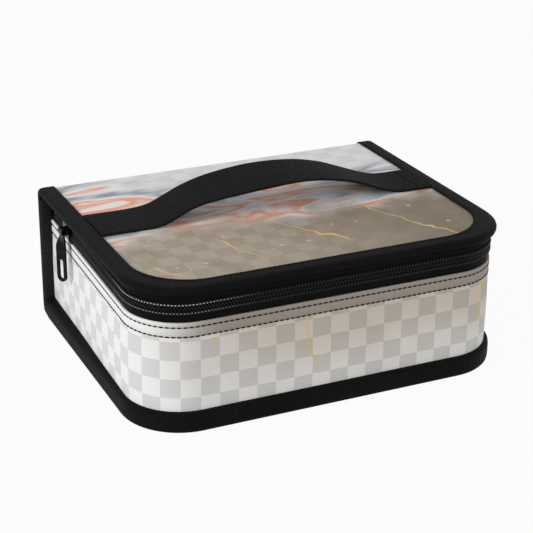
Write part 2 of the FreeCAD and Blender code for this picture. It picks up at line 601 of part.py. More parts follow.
# Padded dividers, standing on the lining and held between the walls
LONG_BACK = f"({INSIDE_BACK} - {dim('long_divider_back')})"
LONG_FRONT = f"({LONG_BACK} - {dim('divider')})"
LONG_HALF = f"({lean_half_width(INSIDE, LONG_BACK)} - {dim('divider_play')})"
add_box(
    "long_divider",
    (f"2 * {LONG_HALF}", dim("divider"), dim("divider_height")),
    (f"-{LONG_HALF}", LONG_FRONT, INSIDE_FLOOR),
)
FRONT_INSIDE = f"-{front(INSIDE)} + {dim('divider_play')}"
FRONT_SPAN = f"{LONG_FRONT} + {front(INSIDE)} - 2 * {dim('divider_play')}"
SPREAD = f"{dim('front_divider_spread')} / 2"
for side, x in (("left", f"-{SPREAD} - {dim('divider')}"), ("right", SPREAD)):
    add_box(
        f"front_divider_{side}",
        (dim("divider"), FRONT_SPAN, dim("divider_height")),
        (x, FRONT_INSIDE, INSIDE_FLOOR),
    )
add_box(
    "rear_divider",
    (dim("divider"), f"{dim('long_divider_back')} - 2 * {dim('divider_play')}", dim("divider_height")),
    (f"-{dim('divider')} / 2", f"{LONG_BACK} + {dim('divider_play')}", INSIDE_FLOOR),
)

# One file for each sub-part
SUB_PARTS = """
base_panel base_board base_lining base_binding
spine_panel spine_board spine_lining spine_binding_left spine_binding_right
wall_panel wall_foam wall_lining
lower_zip_tape lower_zip_coil zip_end_stops upper_zip_tape upper_zip_coil
lid_panel lid_board lid_lining lid_binding
hinge_fold fold_binding_left fold_binding_right
handle_strap brush_panel brush_band
zip_slider zip_pull
long_divider front_divider_left front_divider_right rear_divider
""".split()

doc.recompute()
for obj in doc.Objects:
    if "Invalid" in obj.State or "Error" in obj.State:
        raise ValueError(f"{obj.Label} did not build: {obj.State}")

os.makedirs("parts", exist_ok=True)
for name in SUB_PARTS:
    shape = doc.getObject(name).Shape
    if shape.isNull() or not shape.isValid():
        raise ValueError(f"{name} has no valid shape")
    shape.exportStep(os.path.join("parts", f"{name}.step"))
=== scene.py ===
import math

import bmesh
import bpy
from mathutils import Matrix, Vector, noise


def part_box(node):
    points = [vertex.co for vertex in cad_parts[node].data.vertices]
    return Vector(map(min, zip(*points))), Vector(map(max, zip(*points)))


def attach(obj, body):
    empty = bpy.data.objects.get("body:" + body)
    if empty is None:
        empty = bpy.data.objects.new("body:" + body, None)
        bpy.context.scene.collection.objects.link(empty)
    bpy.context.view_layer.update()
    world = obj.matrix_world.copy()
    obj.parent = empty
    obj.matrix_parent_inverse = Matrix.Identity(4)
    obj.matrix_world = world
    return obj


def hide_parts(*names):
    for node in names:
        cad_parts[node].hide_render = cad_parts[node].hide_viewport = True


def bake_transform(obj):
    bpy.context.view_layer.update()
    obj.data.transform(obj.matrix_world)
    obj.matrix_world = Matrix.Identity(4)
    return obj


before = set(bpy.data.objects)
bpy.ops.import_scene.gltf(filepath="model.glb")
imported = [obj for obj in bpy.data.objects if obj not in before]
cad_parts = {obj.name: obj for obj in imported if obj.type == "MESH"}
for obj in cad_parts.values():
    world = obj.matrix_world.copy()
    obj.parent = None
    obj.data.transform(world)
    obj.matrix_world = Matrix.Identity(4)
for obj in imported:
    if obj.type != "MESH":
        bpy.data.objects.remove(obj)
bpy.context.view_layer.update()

# Base panel: the part of the cover that the case stands on, coated fabric with a printed face.
# It is one sheet with the spine, the fold and the lid, cut to the D-shaped plan and sewn into
# the base binding, so its print carries on from the foot of the spine.
MM = 0.001
plan_low, plan_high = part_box("base_binding")
half_width = plan_high.x
front_edge = plan_low.y
corner_radius = 40 * MM
side_lean = math.radians(1.7)
side_steps = 30
arc_steps = 16
front_steps = 20
row_steps = 28
smooth_under = math.radians(40)
up = Vector((0, 0, 1))


def tint(*levels):
    """Linear colour of sRGB levels from 0 to 255, by the curve of that standard."""
    linear = [((v / 255 + 0.055) / 1.055) ** 2.4 if v > 10 else v / 255 / 12.92 for v in levels]
    return (*linear, 1.0)


def plan_run(node, lean=0.0, back=None):
    """Points, outward directions and lengths along a node's left side, front and right side."""
    low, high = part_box(node)
    radius = corner_radius - (low.y - front_edge)
    centre = Vector((corner_radius - half_width, front_edge + corner_radius, 0))
    side_out = Vector((-math.cos(lean), math.sin(lean), 0))
    side_back = Vector((math.sin(lean), math.cos(lean), 0))
    side_front = centre + side_out * radius
    side_length = ((back or high.y) - side_front.y) / side_back.y
    half = []
    for i in range(side_steps):
        half.append((side_front + side_back * side_length * (1 - i / side_steps), side_out))
    for i in range(arc_steps):
        angle = math.pi - lean + (math.pi / 2 + lean) * i / arc_steps
        out = Vector((math.cos(angle), math.sin(angle), 0))
        half.append((centre + out * radius, out))
    for i in range(front_steps + 1):
        half.append((Vector((centre.x * (1 - i / front_steps), low.y, 0)), Vector((0, -1, 0))))
    other = [(Vector((-p.x, p.y, 0)), Vector((-o.x, o.y, 0))) for p, o in reversed(half[:-1])]
    run, along, last = [], 0.0, half[0][0]
    for point, out in half + other:
        along += (point - last).length
        run.append((point, out, along))
        last = point
    return run


def put_in(name, data):
    """An object in the scene that holds a mesh, a lamp or a camera."""
    thing = bpy.data.objects.new(name, data)
    bpy.context.collection.objects.link(thing)
    return thing


def make_piece(name, vertices, faces, corners=None):
    """A smooth-shaded object from points and faces, with a map of its print in metres."""
    mesh = bpy.data.meshes.new(name)
    mesh.from_pydata([tuple(v) for v in vertices], [], faces)
    if corners:
        layer = mesh.uv_layers.new(name="print")
        layer.data.foreach_set("uv", [value for corner in corners for value in corner])
    shell = bmesh.new()
    shell.from_mesh(mesh)
    bmesh.ops.recalc_face_normals(shell, faces=shell.faces)
    shell.to_mesh(mesh)
    shell.free()
    mesh.polygons.foreach_set("use_smooth", [True] * len(mesh.polygons))
    mesh.set_sharp_from_angle(angle=smooth_under)
    return put_in(name, mesh)


def two_sided(wide, tall):
    """Faces of two grids of points, one behind the other, and of the rim that joins them."""
    size = wide * tall
    faces = []
    for i in range(tall - 1):
        for j in range(wide - 1):
            a = i * wide + j
            faces.append((a, a + 1, a + wide + 1, a + wide))
            faces.append((size + a, size + a + wide, size + a + wide + 1, size + a + 1))
    rim = list(range(wide)) + [i * wide + wide - 1 for i in range(1, tall)]
    rim += [(tall - 1) * wide + j for j in reversed(range(wide - 1))]
    rim += [i * wide for i in reversed(range(1, tall - 1))]
    return faces + [(a, b, size + b, size + a) for a, b in zip(rim, rim[1:] + rim[:1])]


def plate(name, run, low, high, rise=None, print_at=None):
    """A sheet of the D-shaped plan between two heights, both of its faces raised by rise(x, y)."""
    rows = [(abs(point.x), point.y) for point, _, _ in run[: len(run) // 2 + 1 - front_steps]]
    columns = [2 * i / row_steps - 1 for i in range(row_steps + 1)]
    vertices = []
    for level in (high, low):
        for half, y in rows:
            for share in columns:
                lift = rise(half * share, y) if rise else 0.0
                vertices.append((half * share, y, level + lift))
    faces = two_sided(len(columns), len(rows))
    where = print_at or (lambda x, y: (x, y))
    corners = [where(vertices[v][0], vertices[v][1]) for face in faces for v in face]
    return make_piece(name, vertices, faces, corners)


def add(tree, kind, values=None, **settings):
    """A node with its settings, and its sockets set or linked."""
    node = tree.nodes.new(kind)
    for key, value in settings.items():
        setattr(node, key, value)
    for socket, value in (values or {}).items():
        if isinstance(value, bpy.types.NodeSocket):
            tree.links.new(value, node.inputs[socket])
        else:
            node.inputs[socket].default_value = value
    return node


def calc(tree, operation, *values):
    """Result of a sum on numbers."""
    return add(tree, "ShaderNodeMath", dict(enumerate(values)), operation=operation).outputs[0]


def calc_vector(tree, operation, *values):
    """Results of a sum on vectors: a vector, or a number by the name of Value."""
    values = dict(enumerate(values))
    return add(tree, "ShaderNodeVectorMath", values, operation=operation).outputs


def ease(tree, value, start, end, low=0.0, high=1.0):
    """A mask that goes smoothly from low at start to high at end."""
    span = {"Value": value, "From Min": start, "From Max": end, "To Min": low, "To Max": high}
    return add(tree, "ShaderNodeMapRange", span, interpolation_type="SMOOTHSTEP").outputs["Result"]


def blend_colours(tree, factor, first, second):
    """A colour between two others."""
    values = {0: factor, 6: first, 7: second}
    return add(tree, "ShaderNodeMix", values, data_type="RGBA").outputs[2]


def coordinates(tree, kind):
    """Places on the surface, by the piece's print map (UV) or in the case's own frame (Object)."""
    return add(tree, "ShaderNodeTexCoord").outputs[kind]


def by_socket(values):
    """Values that are given by a name in small letters, by the socket's own name."""
    return {key.capitalize(): value for key, value in values.items()}


def mottled(tree, place, **values):
    """Results of a noise at a place, with its settings given by name."""
    return add(tree, "ShaderNodeTexNoise", {"Vector": place, **by_socket(values)}).outputs


def grouped(tree, group, place, **values):
    """Results of a shared effect at a place, with its inputs given by name."""
    values = {"Vector": place, **by_socket(values)}
    return add(tree, "ShaderNodeGroup", values, node_tree=group).outputs


def new_group(name, inputs, outputs):
    """An empty node group with named sockets, and its start and end sockets."""
    group = bpy.data.node_groups.new(name, "ShaderNodeTree")
    for label, kind, value in inputs:
        socket = group.interface.new_socket(label, in_out="INPUT", socket_type=kind)
        if value is not None:
            socket.default_value = value
    for label, kind in outputs:
        group.interface.new_socket(label, in_out="OUTPUT", socket_type=kind)
    start, end = group.nodes.new("NodeGroupInput"), group.nodes.new("NodeGroupOutput")
    return group, start.outputs, end.inputs


def new_material(name, roughness, specular):
    """A material with its node tree and its shader."""
    material = bpy.data.materials.new(name)
    material.use_nodes = True
    shader = material.node_tree.nodes["Principled BSDF"]
    shader.inputs["Roughness"].default_value = roughness
    shader.inputs["Specular IOR Level"].default_value = specular
    return material, material.node_tree, shader


def emboss(tree, shader, height, depth, strength):
    """Relief of a surface from a height that changes over it."""
    relief = {"Height": height, "Distance": depth, "Strength": strength}
    bump = add(tree, "ShaderNodeBump", relief)
    tree.links.new(bump.outputs["Normal"], shader.inputs["Normal"])


def clad(part, material):
    """Gives a part one material in place of those it has."""
    part.data.materials.clear()
    part.data.materials.append(material)


def dress(piece, material, slot, body, *nodes):
    """Gives a piece its material, the body it rides on and the nodes it replaces. The slot is not used.
    """
    clad(piece, material)
    if body:
        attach(piece, body)
    if nodes:
        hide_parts(*nodes)


FLOAT, VECTOR, COLOUR = "NodeSocketFloat", "NodeSocketVector", "NodeSocketColor"

pebble_weight = 0.6
coated_grain, given, wanted = new_group(
    "coated_grain",
    [("Vector", VECTOR, None), ("Size", FLOAT, 0.6 * MM)],
    [("Height", FLOAT), ("Tone", FLOAT)],
)
fineness = calc(coated_grain, "DIVIDE", 1.0, given["Size"])
pebbles = add(coated_grain, "ShaderNodeTexVoronoi", {"Vector": given["Vector"], "Scale": fineness})
creases = mottled(coated_grain, given["Vector"], scale=60.0, detail=4.0)["Fac"]
pebbled = calc(coated_grain, "MULTIPLY", pebbles.outputs["Distance"], pebble_weight)
coated_grain.links.new(calc(coated_grain, "ADD", pebbled, creases), wanted["Height"])
coated_grain.links.new(creases, wanted["Tone"])

check_cell = 12.5 * MM
print_plane = (0, 0, 3 * MM)  # keeps the flat map off the border between two layers of checks
check_print, given, wanted = new_group(
    "check_print",
    [("Vector", VECTOR, None), ("Cell", FLOAT, check_cell),
     ("Light", COLOUR, None), ("Dark", COLOUR, None)],
    [("Color", COLOUR)],
)
cells = calc(check_print, "DIVIDE", 1.0, given["Cell"])
flat_place = calc_vector(check_print, "ADD", given["Vector"], print_plane)[0]
squares = {"Vector": flat_place, "Scale": cells, "Color1": given["Light"], "Color2": given["Dark"]}
squared = add(check_print, "ShaderNodeTexChecker", squares)
check_print.links.new(squared.outputs["Color"], wanted["Color"])

washes = [
    (0.12, (238, 238, 238)), (0.26, (122, 130, 146)), (0.36, (214, 217, 222)),
    (0.48, (248, 242, 238)), (0.58, (240, 142, 98)), (0.65, (243, 202, 178)),
    (0.74, (248, 240, 236)), (0.88, (160, 152, 148)),
]
wash_contrast, wash_offset = 1.9, -0.45
watercolour, given, wanted = new_group(
    "watercolour",
    [("Vector", VECTOR, None), ("Scale", FLOAT, 20.0), ("Warmth", FLOAT, 0.0)],
    [("Color", COLOUR), ("Patch", FLOAT)],
)
stretched = {"Vector": given["Vector"], "Rotation": (0, 0, 0.35), "Scale": (0.55, 1.5, 1.0)}
flow = add(watercolour, "ShaderNodeMapping", stretched).outputs["Vector"]
wash_scale = given["Scale"]
pools = mottled(
    watercolour, flow, scale=wash_scale, detail=2.5, roughness=0.4, distortion=1.1
)["Fac"]
patches = mottled(
    watercolour, given["Vector"], scale=wash_scale, detail=3.0, roughness=0.5, distortion=0.4
)["Fac"]
spread_out = calc(watercolour, "MULTIPLY_ADD", pools, wash_contrast, wash_offset)
# The shift moves the wash along its ramp; on the lid it is painted light under the handle strap.
warmed = calc(watercolour, "ADD", spread_out, given["Warmth"])
ramp = add(watercolour, "ShaderNodeValToRGB", {"Fac": warmed})
stops = ramp.color_ramp.elements
first_stops = len(stops)
for i, (position, levels) in enumerate(washes):
    stop = stops[i] if i < first_stops else stops.new(position)
    stop.position = position
    stop.color = tint(*levels)
watercolour.links.new(ramp.outputs["Color"], wanted["Color"])
watercolour.links.new(patches, wanted["Patch"])

torn_reach = (2 * MM, 2 * MM, 0)
fleck_largest = 0.17
fleck_chance = 0.4
vein_slant = (0.9, 0.45, 0)
vein_swirl = 75 * MM
vein_spacing = 58 * MM
vein_middle = 0.5
vein_width = (0.017, 0.007)
vein_gaps = (0.40, 0.50)
gold_leaf, given, wanted = new_group(
    "gold_leaf", [("Vector", VECTOR, None), ("Spacing", FLOAT, 12 * MM)], [("Mask", FLOAT)]
)
density = calc(gold_leaf, "DIVIDE", 1.0, given["Spacing"])
ragged = mottled(gold_leaf, given["Vector"], scale=700.0, detail=2.0)["Color"]
torn = calc_vector(gold_leaf, "MULTIPLY_ADD", ragged, torn_reach, given["Vector"])[0]
dots = add(gold_leaf, "ShaderNodeTexVoronoi", {"Vector": torn, "Scale": density}).outputs
chance = add(gold_leaf, "ShaderNodeSeparateColor", {"Color": dots["Color"]}).outputs
fleck_size = calc(gold_leaf, "MULTIPLY", chance["Red"], fleck_largest)
shown = calc(gold_leaf, "GREATER_THAN", chance["Green"], fleck_chance)
fleck = calc(gold_leaf, "LESS_THAN", dots["Distance"], fleck_size)
swirl = mottled(gold_leaf, given["Vector"], scale=17.0, detail=3.0, roughness=0.45)["Fac"]
slanted = calc_vector(gold_leaf, "DOT_PRODUCT", given["Vector"], vein_slant)["Value"]
flowing = calc(gold_leaf, "MULTIPLY_ADD", swirl, vein_swirl, slanted)
across_vein = calc(gold_leaf, "FRACT", calc(gold_leaf, "DIVIDE", flowing, vein_spacing))
from_line = calc(gold_leaf, "ABSOLUTE", calc(gold_leaf, "SUBTRACT", across_vein, vein_middle))
gaps = mottled(gold_leaf, given["Vector"], scale=21.0, detail=1.0)["Fac"]
line = ease(gold_leaf, from_line, *vein_width)
vein = calc(gold_leaf, "MULTIPLY", line, ease(gold_leaf, gaps, *vein_gaps))
leaf = calc(gold_leaf, "MAXIMUM", vein, calc(gold_leaf, "MULTIPLY", fleck, shown))
gold_leaf.links.new(leaf, wanted["Mask"])

check_light = tint(237, 237, 236)
check_dark = tint(226, 227, 228)
taupe_light = tint(174, 162, 145)
taupe_dark = tint(163, 150, 133)
taupe_shade = tint(126, 112, 92)
gold = tint(222, 186, 112)
fleck_spacing = 9 * MM
gilt_from = (0.1, 0.5)
print_grain = 0.7 * MM
grain_tones, print_gloss = (0.3, 0.7), (0.42, 0.56)


def checked(tree, place, light, dark):
    """Checks of two colours at a place of the print."""
    return grouped(tree, check_print, place, cell=check_cell, light=light, dark=dark)["Color"]


def finish_print(tree, shader, place, colour, taupe):
    """Gold veins and flecks where the taupe lies, and the grain and gloss of the coating."""
    flecks = grouped(tree, gold_leaf, place, spacing=fleck_spacing)["Mask"]
    gilt = calc(tree, "MULTIPLY", flecks, ease(tree, taupe, *gilt_from))
    tree.links.new(blend_colours(tree, gilt, colour, gold), shader.inputs["Base Color"])
    grain = grouped(tree, coated_grain, place, size=print_grain)
    gloss = ease(tree, grain["Tone"], *grain_tones, *print_gloss)
    tree.links.new(gloss, shader.inputs["Roughness"])
    emboss(tree, shader, grain["Height"], depth=0.12 * MM, strength=0.35)


strap_light_band, strap_light_shift = (45 * MM, 8 * MM), (-0.09, 0.10)
patch_drift = 70 * MM
taupe_band = (3 * MM, -31 * MM)
spill_band, spill_reach = (-35 * MM, -115 * MM), (0.0, 55 * MM)
wash_rear = (78 * MM, 30 * MM)
wash_front = (-33 * MM, -7 * MM)
wash_strength = 0.92
brown_band = (-55 * MM, 105 * MM)
cloud_patches, cloud_strength = (0.47, 0.68), (0.0, 0.45)
cover_print, tree, shader = new_material("cover_print", roughness=0.5, specular=0.25)
place = coordinates(tree, "UV")
spot = add(tree, "ShaderNodeSeparateXYZ", {"Vector": place}).outputs
pale = checked(tree, place, check_light, check_dark)
brown = checked(tree, place, taupe_light, taupe_dark)
# Painted light: the wash is shifted towards its lighter, warmer colours under and in front of the handle
# strap, against the strap's shadow there.
warmth = ease(tree, spot["Y"], *strap_light_band, *strap_light_shift)
wash = grouped(tree, watercolour, place, scale=21.0, warmth=warmth)
drift = calc(tree, "MULTIPLY_ADD", wash["Patch"], patch_drift, -patch_drift / 2)
drifted = calc(tree, "ADD", spot["Y"], drift)
taupe = ease(tree, drifted, *taupe_band)
spill = ease(tree, spot["X"], *spill_band, *spill_reach)
band_end = ease(tree, calc(tree, "SUBTRACT", drifted, spill), *wash_rear)
band = calc(tree, "MULTIPLY", ease(tree, drifted, *wash_front), band_end)
soft = blend_colours(tree, calc(tree, "MULTIPLY", band, wash_strength), pale, wash["Color"])
browner = ease(tree, calc(tree, "ADD", spot["X"], drift), *brown_band)
clouded = ease(tree, wash["Patch"], *cloud_patches, *cloud_strength)
brown = blend_colours(tree, calc(tree, "MAXIMUM", browner, clouded), brown, taupe_shade)
finish_print(tree, shader, place, blend_colours(tree, taupe, soft, brown), taupe)

base_low, base_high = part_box("base_panel")
spine_low, spine_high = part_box("spine_panel")
lid_low, lid_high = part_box("lid_panel")
fold_low, fold_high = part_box("hinge_fold")
fold_length = (fold_high.y - lid_high.y) + (lid_high.z - spine_high.z)
base_print_start = lid_high.y + fold_length + (spine_high.z - spine_low.z)
foot_radius = 10.5 * MM
foot_join = 3.5 * MM


def turned_in(gap, radius):
    """How far a rounded edge lies in from the square one, at a distance from the edge's end."""
    gap = min(radius, max(0.0, gap))
    return radius - math.sqrt(radius ** 2 - (radius - gap) ** 2)


base_run = plan_run("base_panel", side_lean, base_high.y - foot_join)
base_cover = plate(
    "base_cover", base_run, base_low.z, base_high.z,
    rise=lambda x, y: turned_in(base_high.y - y, foot_radius),
    print_at=lambda x, y: (x, base_print_start + base_high.y - y),
)
dress(base_cover, cover_print, "cover_print", "case", "base_panel")

# Stiffening boards: sheets of pale plastic slipped between cover and lining in the base, the spine
# and the lid. They are held by the bindings, and stop where the cover bends from base to spine.
board_sheet, tree, shader = new_material("board_sheet", roughness=0.55, specular=0.4)
mottle = mottled(tree, coordinates(tree, "Object"), scale=90.0, detail=3.0)["Fac"]
board_colour = blend_colours(tree, mottle, tint(228, 228, 224), tint(240, 240, 237))
tree.links.new(board_colour, shader.inputs["Base Color"])
emboss(tree, shader, mottle, depth=0.1 * MM, strength=0.2)
stiff_low, stiff_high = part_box("base_board")
stiff_run = plan_run("base_board", side_lean, base_high.y - foot_radius)
base_stiffener = plate("base_stiffener", stiff_run, stiff_low.z, stiff_high.z)
dress(base_stiffener, board_sheet, "stiffener", "case", "base_board")
clad(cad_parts["lid_board"], board_sheet)

# Base lining: the smooth dark cloth on the floor of the case, cut a little inside the wall.
# It is glued down on the board and its edge lies under the lining of the wall.
full_turn = 2 * math.pi
weft_weight = 0.12
fuzz_weight = 0.25
rib_shade, wear_shade = 0.45, 0.55
woven_ribs, given, wanted = new_group(
    "woven_ribs",
    [("Vector", VECTOR, None), ("Pitch", FLOAT, 1 * MM),
     ("Slant", FLOAT, 0.0), ("Weft", FLOAT, 0.4 * MM)],
    [("Height", FLOAT), ("Shade", FLOAT)],
)
thread_place = add(woven_ribs, "ShaderNodeSeparateXYZ", {"Vector": given["Vector"]}).outputs
leaned = calc(woven_ribs, "MULTIPLY_ADD", thread_place["Y"], given["Slant"], thread_place["X"])
rib_turn = calc(woven_ribs, "MULTIPLY", calc(woven_ribs, "DIVIDE", leaned, given["Pitch"]), full_turn)
rib = calc(woven_ribs, "MULTIPLY_ADD", calc(woven_ribs, "SINE", rib_turn), 0.5, 0.5)
weft_turn = calc(woven_ribs, "DIVIDE", thread_place["Y"], given["Weft"])
weft = calc(woven_ribs, "SINE", calc(woven_ribs, "MULTIPLY", weft_turn, full_turn))
fuzz = mottled(woven_ribs, given["Vector"], scale=900.0, detail=2.0)["Fac"]
worn = mottled(woven_ribs, given["Vector"], scale=35.0, detail=3.0)["Fac"]
height = calc(woven_ribs, "MULTIPLY_ADD", weft, weft_weight, rib)
height = calc(woven_ribs, "MULTIPLY_ADD", fuzz, fuzz_weight, height)
worn_shade = calc(woven_ribs, "MULTIPLY", worn, wear_shade)
shade = calc(woven_ribs, "MULTIPLY_ADD", rib, rib_shade, worn_shade)
woven_ribs.links.new(height, wanted["Height"])
woven_ribs.links.new(shade, wanted["Shade"])

cloth_specular = 0.03
cloth_sheen = 0.005
sheen_roughness = 0.5
cloth_shades = (0.2, 0.8)
rough_swing = 0.06


def woven_material(name, weave, low, high, depth, strength, roughness):
    """Cloth of ribs of the given pitch, slant and weft, its threads between two shades."""
    material, tree, shader = new_material(name, roughness, cloth_specular)
    shader.inputs["Sheen Weight"].default_value = cloth_sheen
    shader.inputs["Sheen Roughness"].default_value = sheen_roughness
    pitch, slant, weft = weave
    place = coordinates(tree, "UV")
    threads = grouped(tree, woven_ribs, place, pitch=pitch, slant=slant, weft=weft)
    colour = blend_colours(tree, threads["Shade"], tint(*low), tint(*high))
    tree.links.new(colour, shader.inputs["Base Color"])
    gloss = (roughness - rough_swing, roughness + rough_swing)
    tree.links.new(ease(tree, threads["Shade"], *cloth_shades, *gloss), shader.inputs["Roughness"])
    emboss(tree, shader, threads["Height"], depth, strength)
    return material


lining_cloth = woven_material(
    "lining_cloth", weave=(0.7 * MM, 0.0, 0.7 * MM), low=(44, 44, 47), high=(58, 58, 61),
    depth=0.1 * MM, strength=0.3, roughness=0.6,
)
lining_low, lining_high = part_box("base_lining")
lining_run = plan_run("base_lining", side_lean)
floor_cloth = plate("base_lining_cloth", lining_run, lining_low.z, lining_high.z)
dress(floor_cloth, lining_cloth, "lining", "case", "base_lining")

# Wall cover: a long strip of the printed coated fabric that runs round the left side, the front
# and the right side, sewn to the base panel below. Its top edge is turned in to a flat hem over
# the zip tape.
wall_low, wall_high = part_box("wall_panel")
wall_bow = 0.6 * MM
wall_wave = 0.35 * MM
wave_length = 55 * MM
wall_wave_layer = 0.4
cover_sheet = 1.2 * MM
hem_gap = 3 * MM
hem_lip = 0.1 * MM
hem_rows = (wall_high.z - 9.3 * MM, wall_high.z - 3.1 * MM)
hem_relief = [
    (hem_rows[0] - 2.2 * MM, 0.10), (hem_rows[0] - 0.5 * MM, -0.15), (hem_rows[0] + 0.5 * MM, -0.10),
    (hem_rows[0] + 1.6 * MM, 0.25), (hem_rows[1] - 1.6 * MM, 0.28), (hem_rows[1] - 0.5 * MM, -0.02),
    (hem_rows[1] + 0.5 * MM, -0.02), (hem_rows[1] + 1.4 * MM, 0.30), (wall_high.z - 0.7 * MM, 0.28),
    (wall_high.z - hem_lip, 0.05), (wall_high.z, -0.60),
]
bow_steps = 10


def wall_profile(along):
    """Outline of the wall strip as (out, height): a soft bow up the face, the hem, and its back."""
    foot, hem = wall_low.z, hem_rows[0] - hem_gap
    outline = []
    for i in range(bow_steps + 1):
        share = i / bow_steps
        level = foot + (hem - foot) * share
        sway = noise.noise(Vector((along / wave_length, level / wave_length, wall_wave_layer)))
        outline.append(((wall_bow + wall_wave * sway) * math.sin(math.pi * share), level))
    outline += [(relief * MM, level) for level, relief in hem_relief]
    return outline + [(-cover_sheet, level) for level in (wall_high.z - hem_lip, (foot + hem) / 2, foot)]


def carry(run, profile):
    """Rings of points of a profile of (out, height), a list or a function of the length along."""
    rings = []
    for point, out, along in run:
        outline = profile(along) if callable(profile) else profile
        rings.append([point + out * away + up * level for away, level in outline])
    return rings


def skin(name, rings, along, across):
    """A closed strip over rings of points, its print map from the lengths along and across it."""
    count = len(rings[0])
    faces, corners = [], []
    for i in range(len(rings) - 1):
        for j in range(count):
            k = (j + 1) % count
            faces.append((i * count + j, (i + 1) * count + j, (i + 1) * count + k, i * count + k))
            corners += [(along[i], across[j]), (along[i + 1], across[j])]
            corners += [(along[i + 1], across[j + 1]), (along[i], across[j + 1])]
    for i in (0, len(rings) - 1):
        faces.append([i * count + j for j in range(count)])
        corners += [(along[i], across[j]) for j in range(count)]
    return make_piece(name, [point for ring in rings for point in ring], faces, corners)


def girth(outline):
    """Lengths round a closed outline of pairs, from its first point back to it."""
    lengths = [0.0]
    for (a, b), (c, d) in zip(outline, outline[1:] + outline[:1]):
        lengths.append(lengths[-1] + math.hypot(c - a, d - b))
    return lengths


def run_lengths(run):
    """Lengths along a run, from its start at the back of the left side."""
    return [along for _, _, along in run]


def strip(name, run, outline):
    """A closed strip of one outline along a run."""
    return skin(name, carry(run, outline), run_lengths(run), girth(outline))


wall_run = plan_run("wall_panel", side_lean)
wall_levels = [level for _, level in wall_profile(0.0)]
wall_across = wall_levels + wall_levels[:1]
wall_cover = skin("wall_cover", carry(wall_run, wall_profile), run_lengths(wall_run), wall_across)

front_start = wall_run[side_steps][2]
front_end = wall_run[side_steps + arc_steps + 2 * front_steps][2]
print_shift = (check_cell - 2 * MM, 1.9 * MM, 0.0)
wall_drift = 36 * MM
rise_band, rise_strength = (10 * MM, 62 * MM), (0.28, 1.0)
turn_band = (front_start - 10 * MM, front_end - 110 * MM)
hem_band = (front_start + 15 * MM, front_start + 75 * MM)
hem_line = (hem_rows[0] - 0.2 * MM, hem_rows[0] + 0.2 * MM)
wall_gilt = 0.6
wall_print, tree, shader = new_material("wall_print", roughness=0.5, specular=0.25)
place = coordinates(tree, "UV")
spot = add(tree, "ShaderNodeSeparateXYZ", {"Vector": place}).outputs
shifted = calc_vector(tree, "ADD", place, print_shift)[0]
pale = checked(tree, shifted, tint(239, 239, 238), tint(215, 216, 217))
brown = checked(tree, shifted, tint(204, 194, 181), tint(184, 174, 162))
patch = grouped(tree, watercolour, place, scale=16.0)["Patch"]
drift = calc(tree, "MULTIPLY_ADD", patch, wall_drift, -wall_drift / 2)
rising = ease(tree, calc(tree, "ADD", spot["Y"], drift), *rise_band, *rise_strength)
turning = ease(tree, calc(tree, "ADD", spot["X"], drift), *turn_band)
taupe = calc(tree, "MULTIPLY", rising, turning)
printed = blend_colours(tree, taupe, pale, brown)
hem_turning = ease(tree, spot["X"], *hem_band)
hem_colour = blend_colours(tree, hem_turning, tint(236, 235, 233), tint(153, 143, 134))
hem_edge = ease(tree, spot["Y"], *hem_line)
whole = blend_colours(tree, hem_edge, printed, hem_colour)
below_hem = calc(tree, "SUBTRACT", 1.0, hem_edge)
gilded = calc(tree, "MULTIPLY", calc(tree, "MULTIPLY", taupe, wall_gilt), below_hem)
finish_print(tree, shader, place, whole, gilded)
dress(wall_cover, wall_print, "cover_print", "case", "wall_panel")

# Hem stitching: two rows of black thread that hold the turned-in edge and the zip tape behind it.
# Each stitch is a short length of thread pulled into the fabric at both ends.
stitch_length = 3.1 * MM
stitch_pitch = 3.7 * MM
thread_radius = 0.46 * MM
thread_offset = 0.02 * MM
stitch_shape = [(-0.5, 0.3), (-0.38, 0.9), (0.0, 1.1), (0.38, 0.9), (0.5, 0.3)]


def walk(run, pitch):
    """Places at an even pitch along a run, with the outward direction and the way along it."""
    places, want = [], pitch / 2
    for (a, out_a, start), (b, out_b, end) in zip(run, run[1:]):
        while want < end:
            share = (want - start) / (end - start)
            out = out_a.lerp(out_b, share).normalized()
            places.append((a.lerp(b, share), out, (b - a).normalized()))
            want += pitch
    return places


def thread_bits(name, spots, length, radius, shape, sides=6):
    """One object of many short rounded lengths of thread, from (middle, direction) pairs."""
    vertices, faces = [], []
    for middle, along in spots:
        side = along.orthogonal().normalized()
        other = along.cross(side)
        start = len(vertices)
        for share, width in shape:
            for k in range(sides):
                turn = full_turn * k / sides
                away = (side * math.cos(turn) + other * math.sin(turn)) * radius * width
                vertices.append(middle + along * length * share + away)
        for i in range(len(shape) - 1):
            for k in range(sides):
                a, b = start + i * sides + k, start + i * sides + (k + 1) % sides
                faces.append((a, b, b + sides, a + sides))
        faces.append([start + k for k in range(sides)])
        faces.append([start + (len(shape) - 1) * sides + k for k in range(sides)])
    return make_piece(name, vertices, faces)


def stitches(name, spots):
    """Sewn stitches of one kind, from (middle, direction) pairs."""
    return thread_bits(name, spots, stitch_length, thread_radius, stitch_shape)


def thread_material(name, low, high, roughness, specular):
    """Twisted sewing thread, its strands a shade apart."""
    material, tree, shader = new_material(name, roughness, specular)
    twisted = {"Vector": coordinates(tree, "Object"), "Scale": 900.0, "Distortion": 2.0}
    twist = add(tree, "ShaderNodeTexWave", twisted, bands_direction="DIAGONAL").outputs["Fac"]
    strands = blend_colours(tree, twist, tint(*low), tint(*high))
    tree.links.new(strands, shader.inputs["Base Color"])
    emboss(tree, shader, twist, depth=0.08 * MM, strength=0.4)
    return material


black_thread = thread_material(
    "black_thread", low=(7, 7, 7), high=(20, 19, 19), roughness=0.6, specular=0.1
)
hem_spots = []
for level in hem_rows:
    for point, out, way in walk(wall_run, stitch_pitch):
        hem_spots.append((point + up * level - out * thread_offset, way))
dress(stitches("hem_stitches", hem_spots), black_thread, "binding", "case")

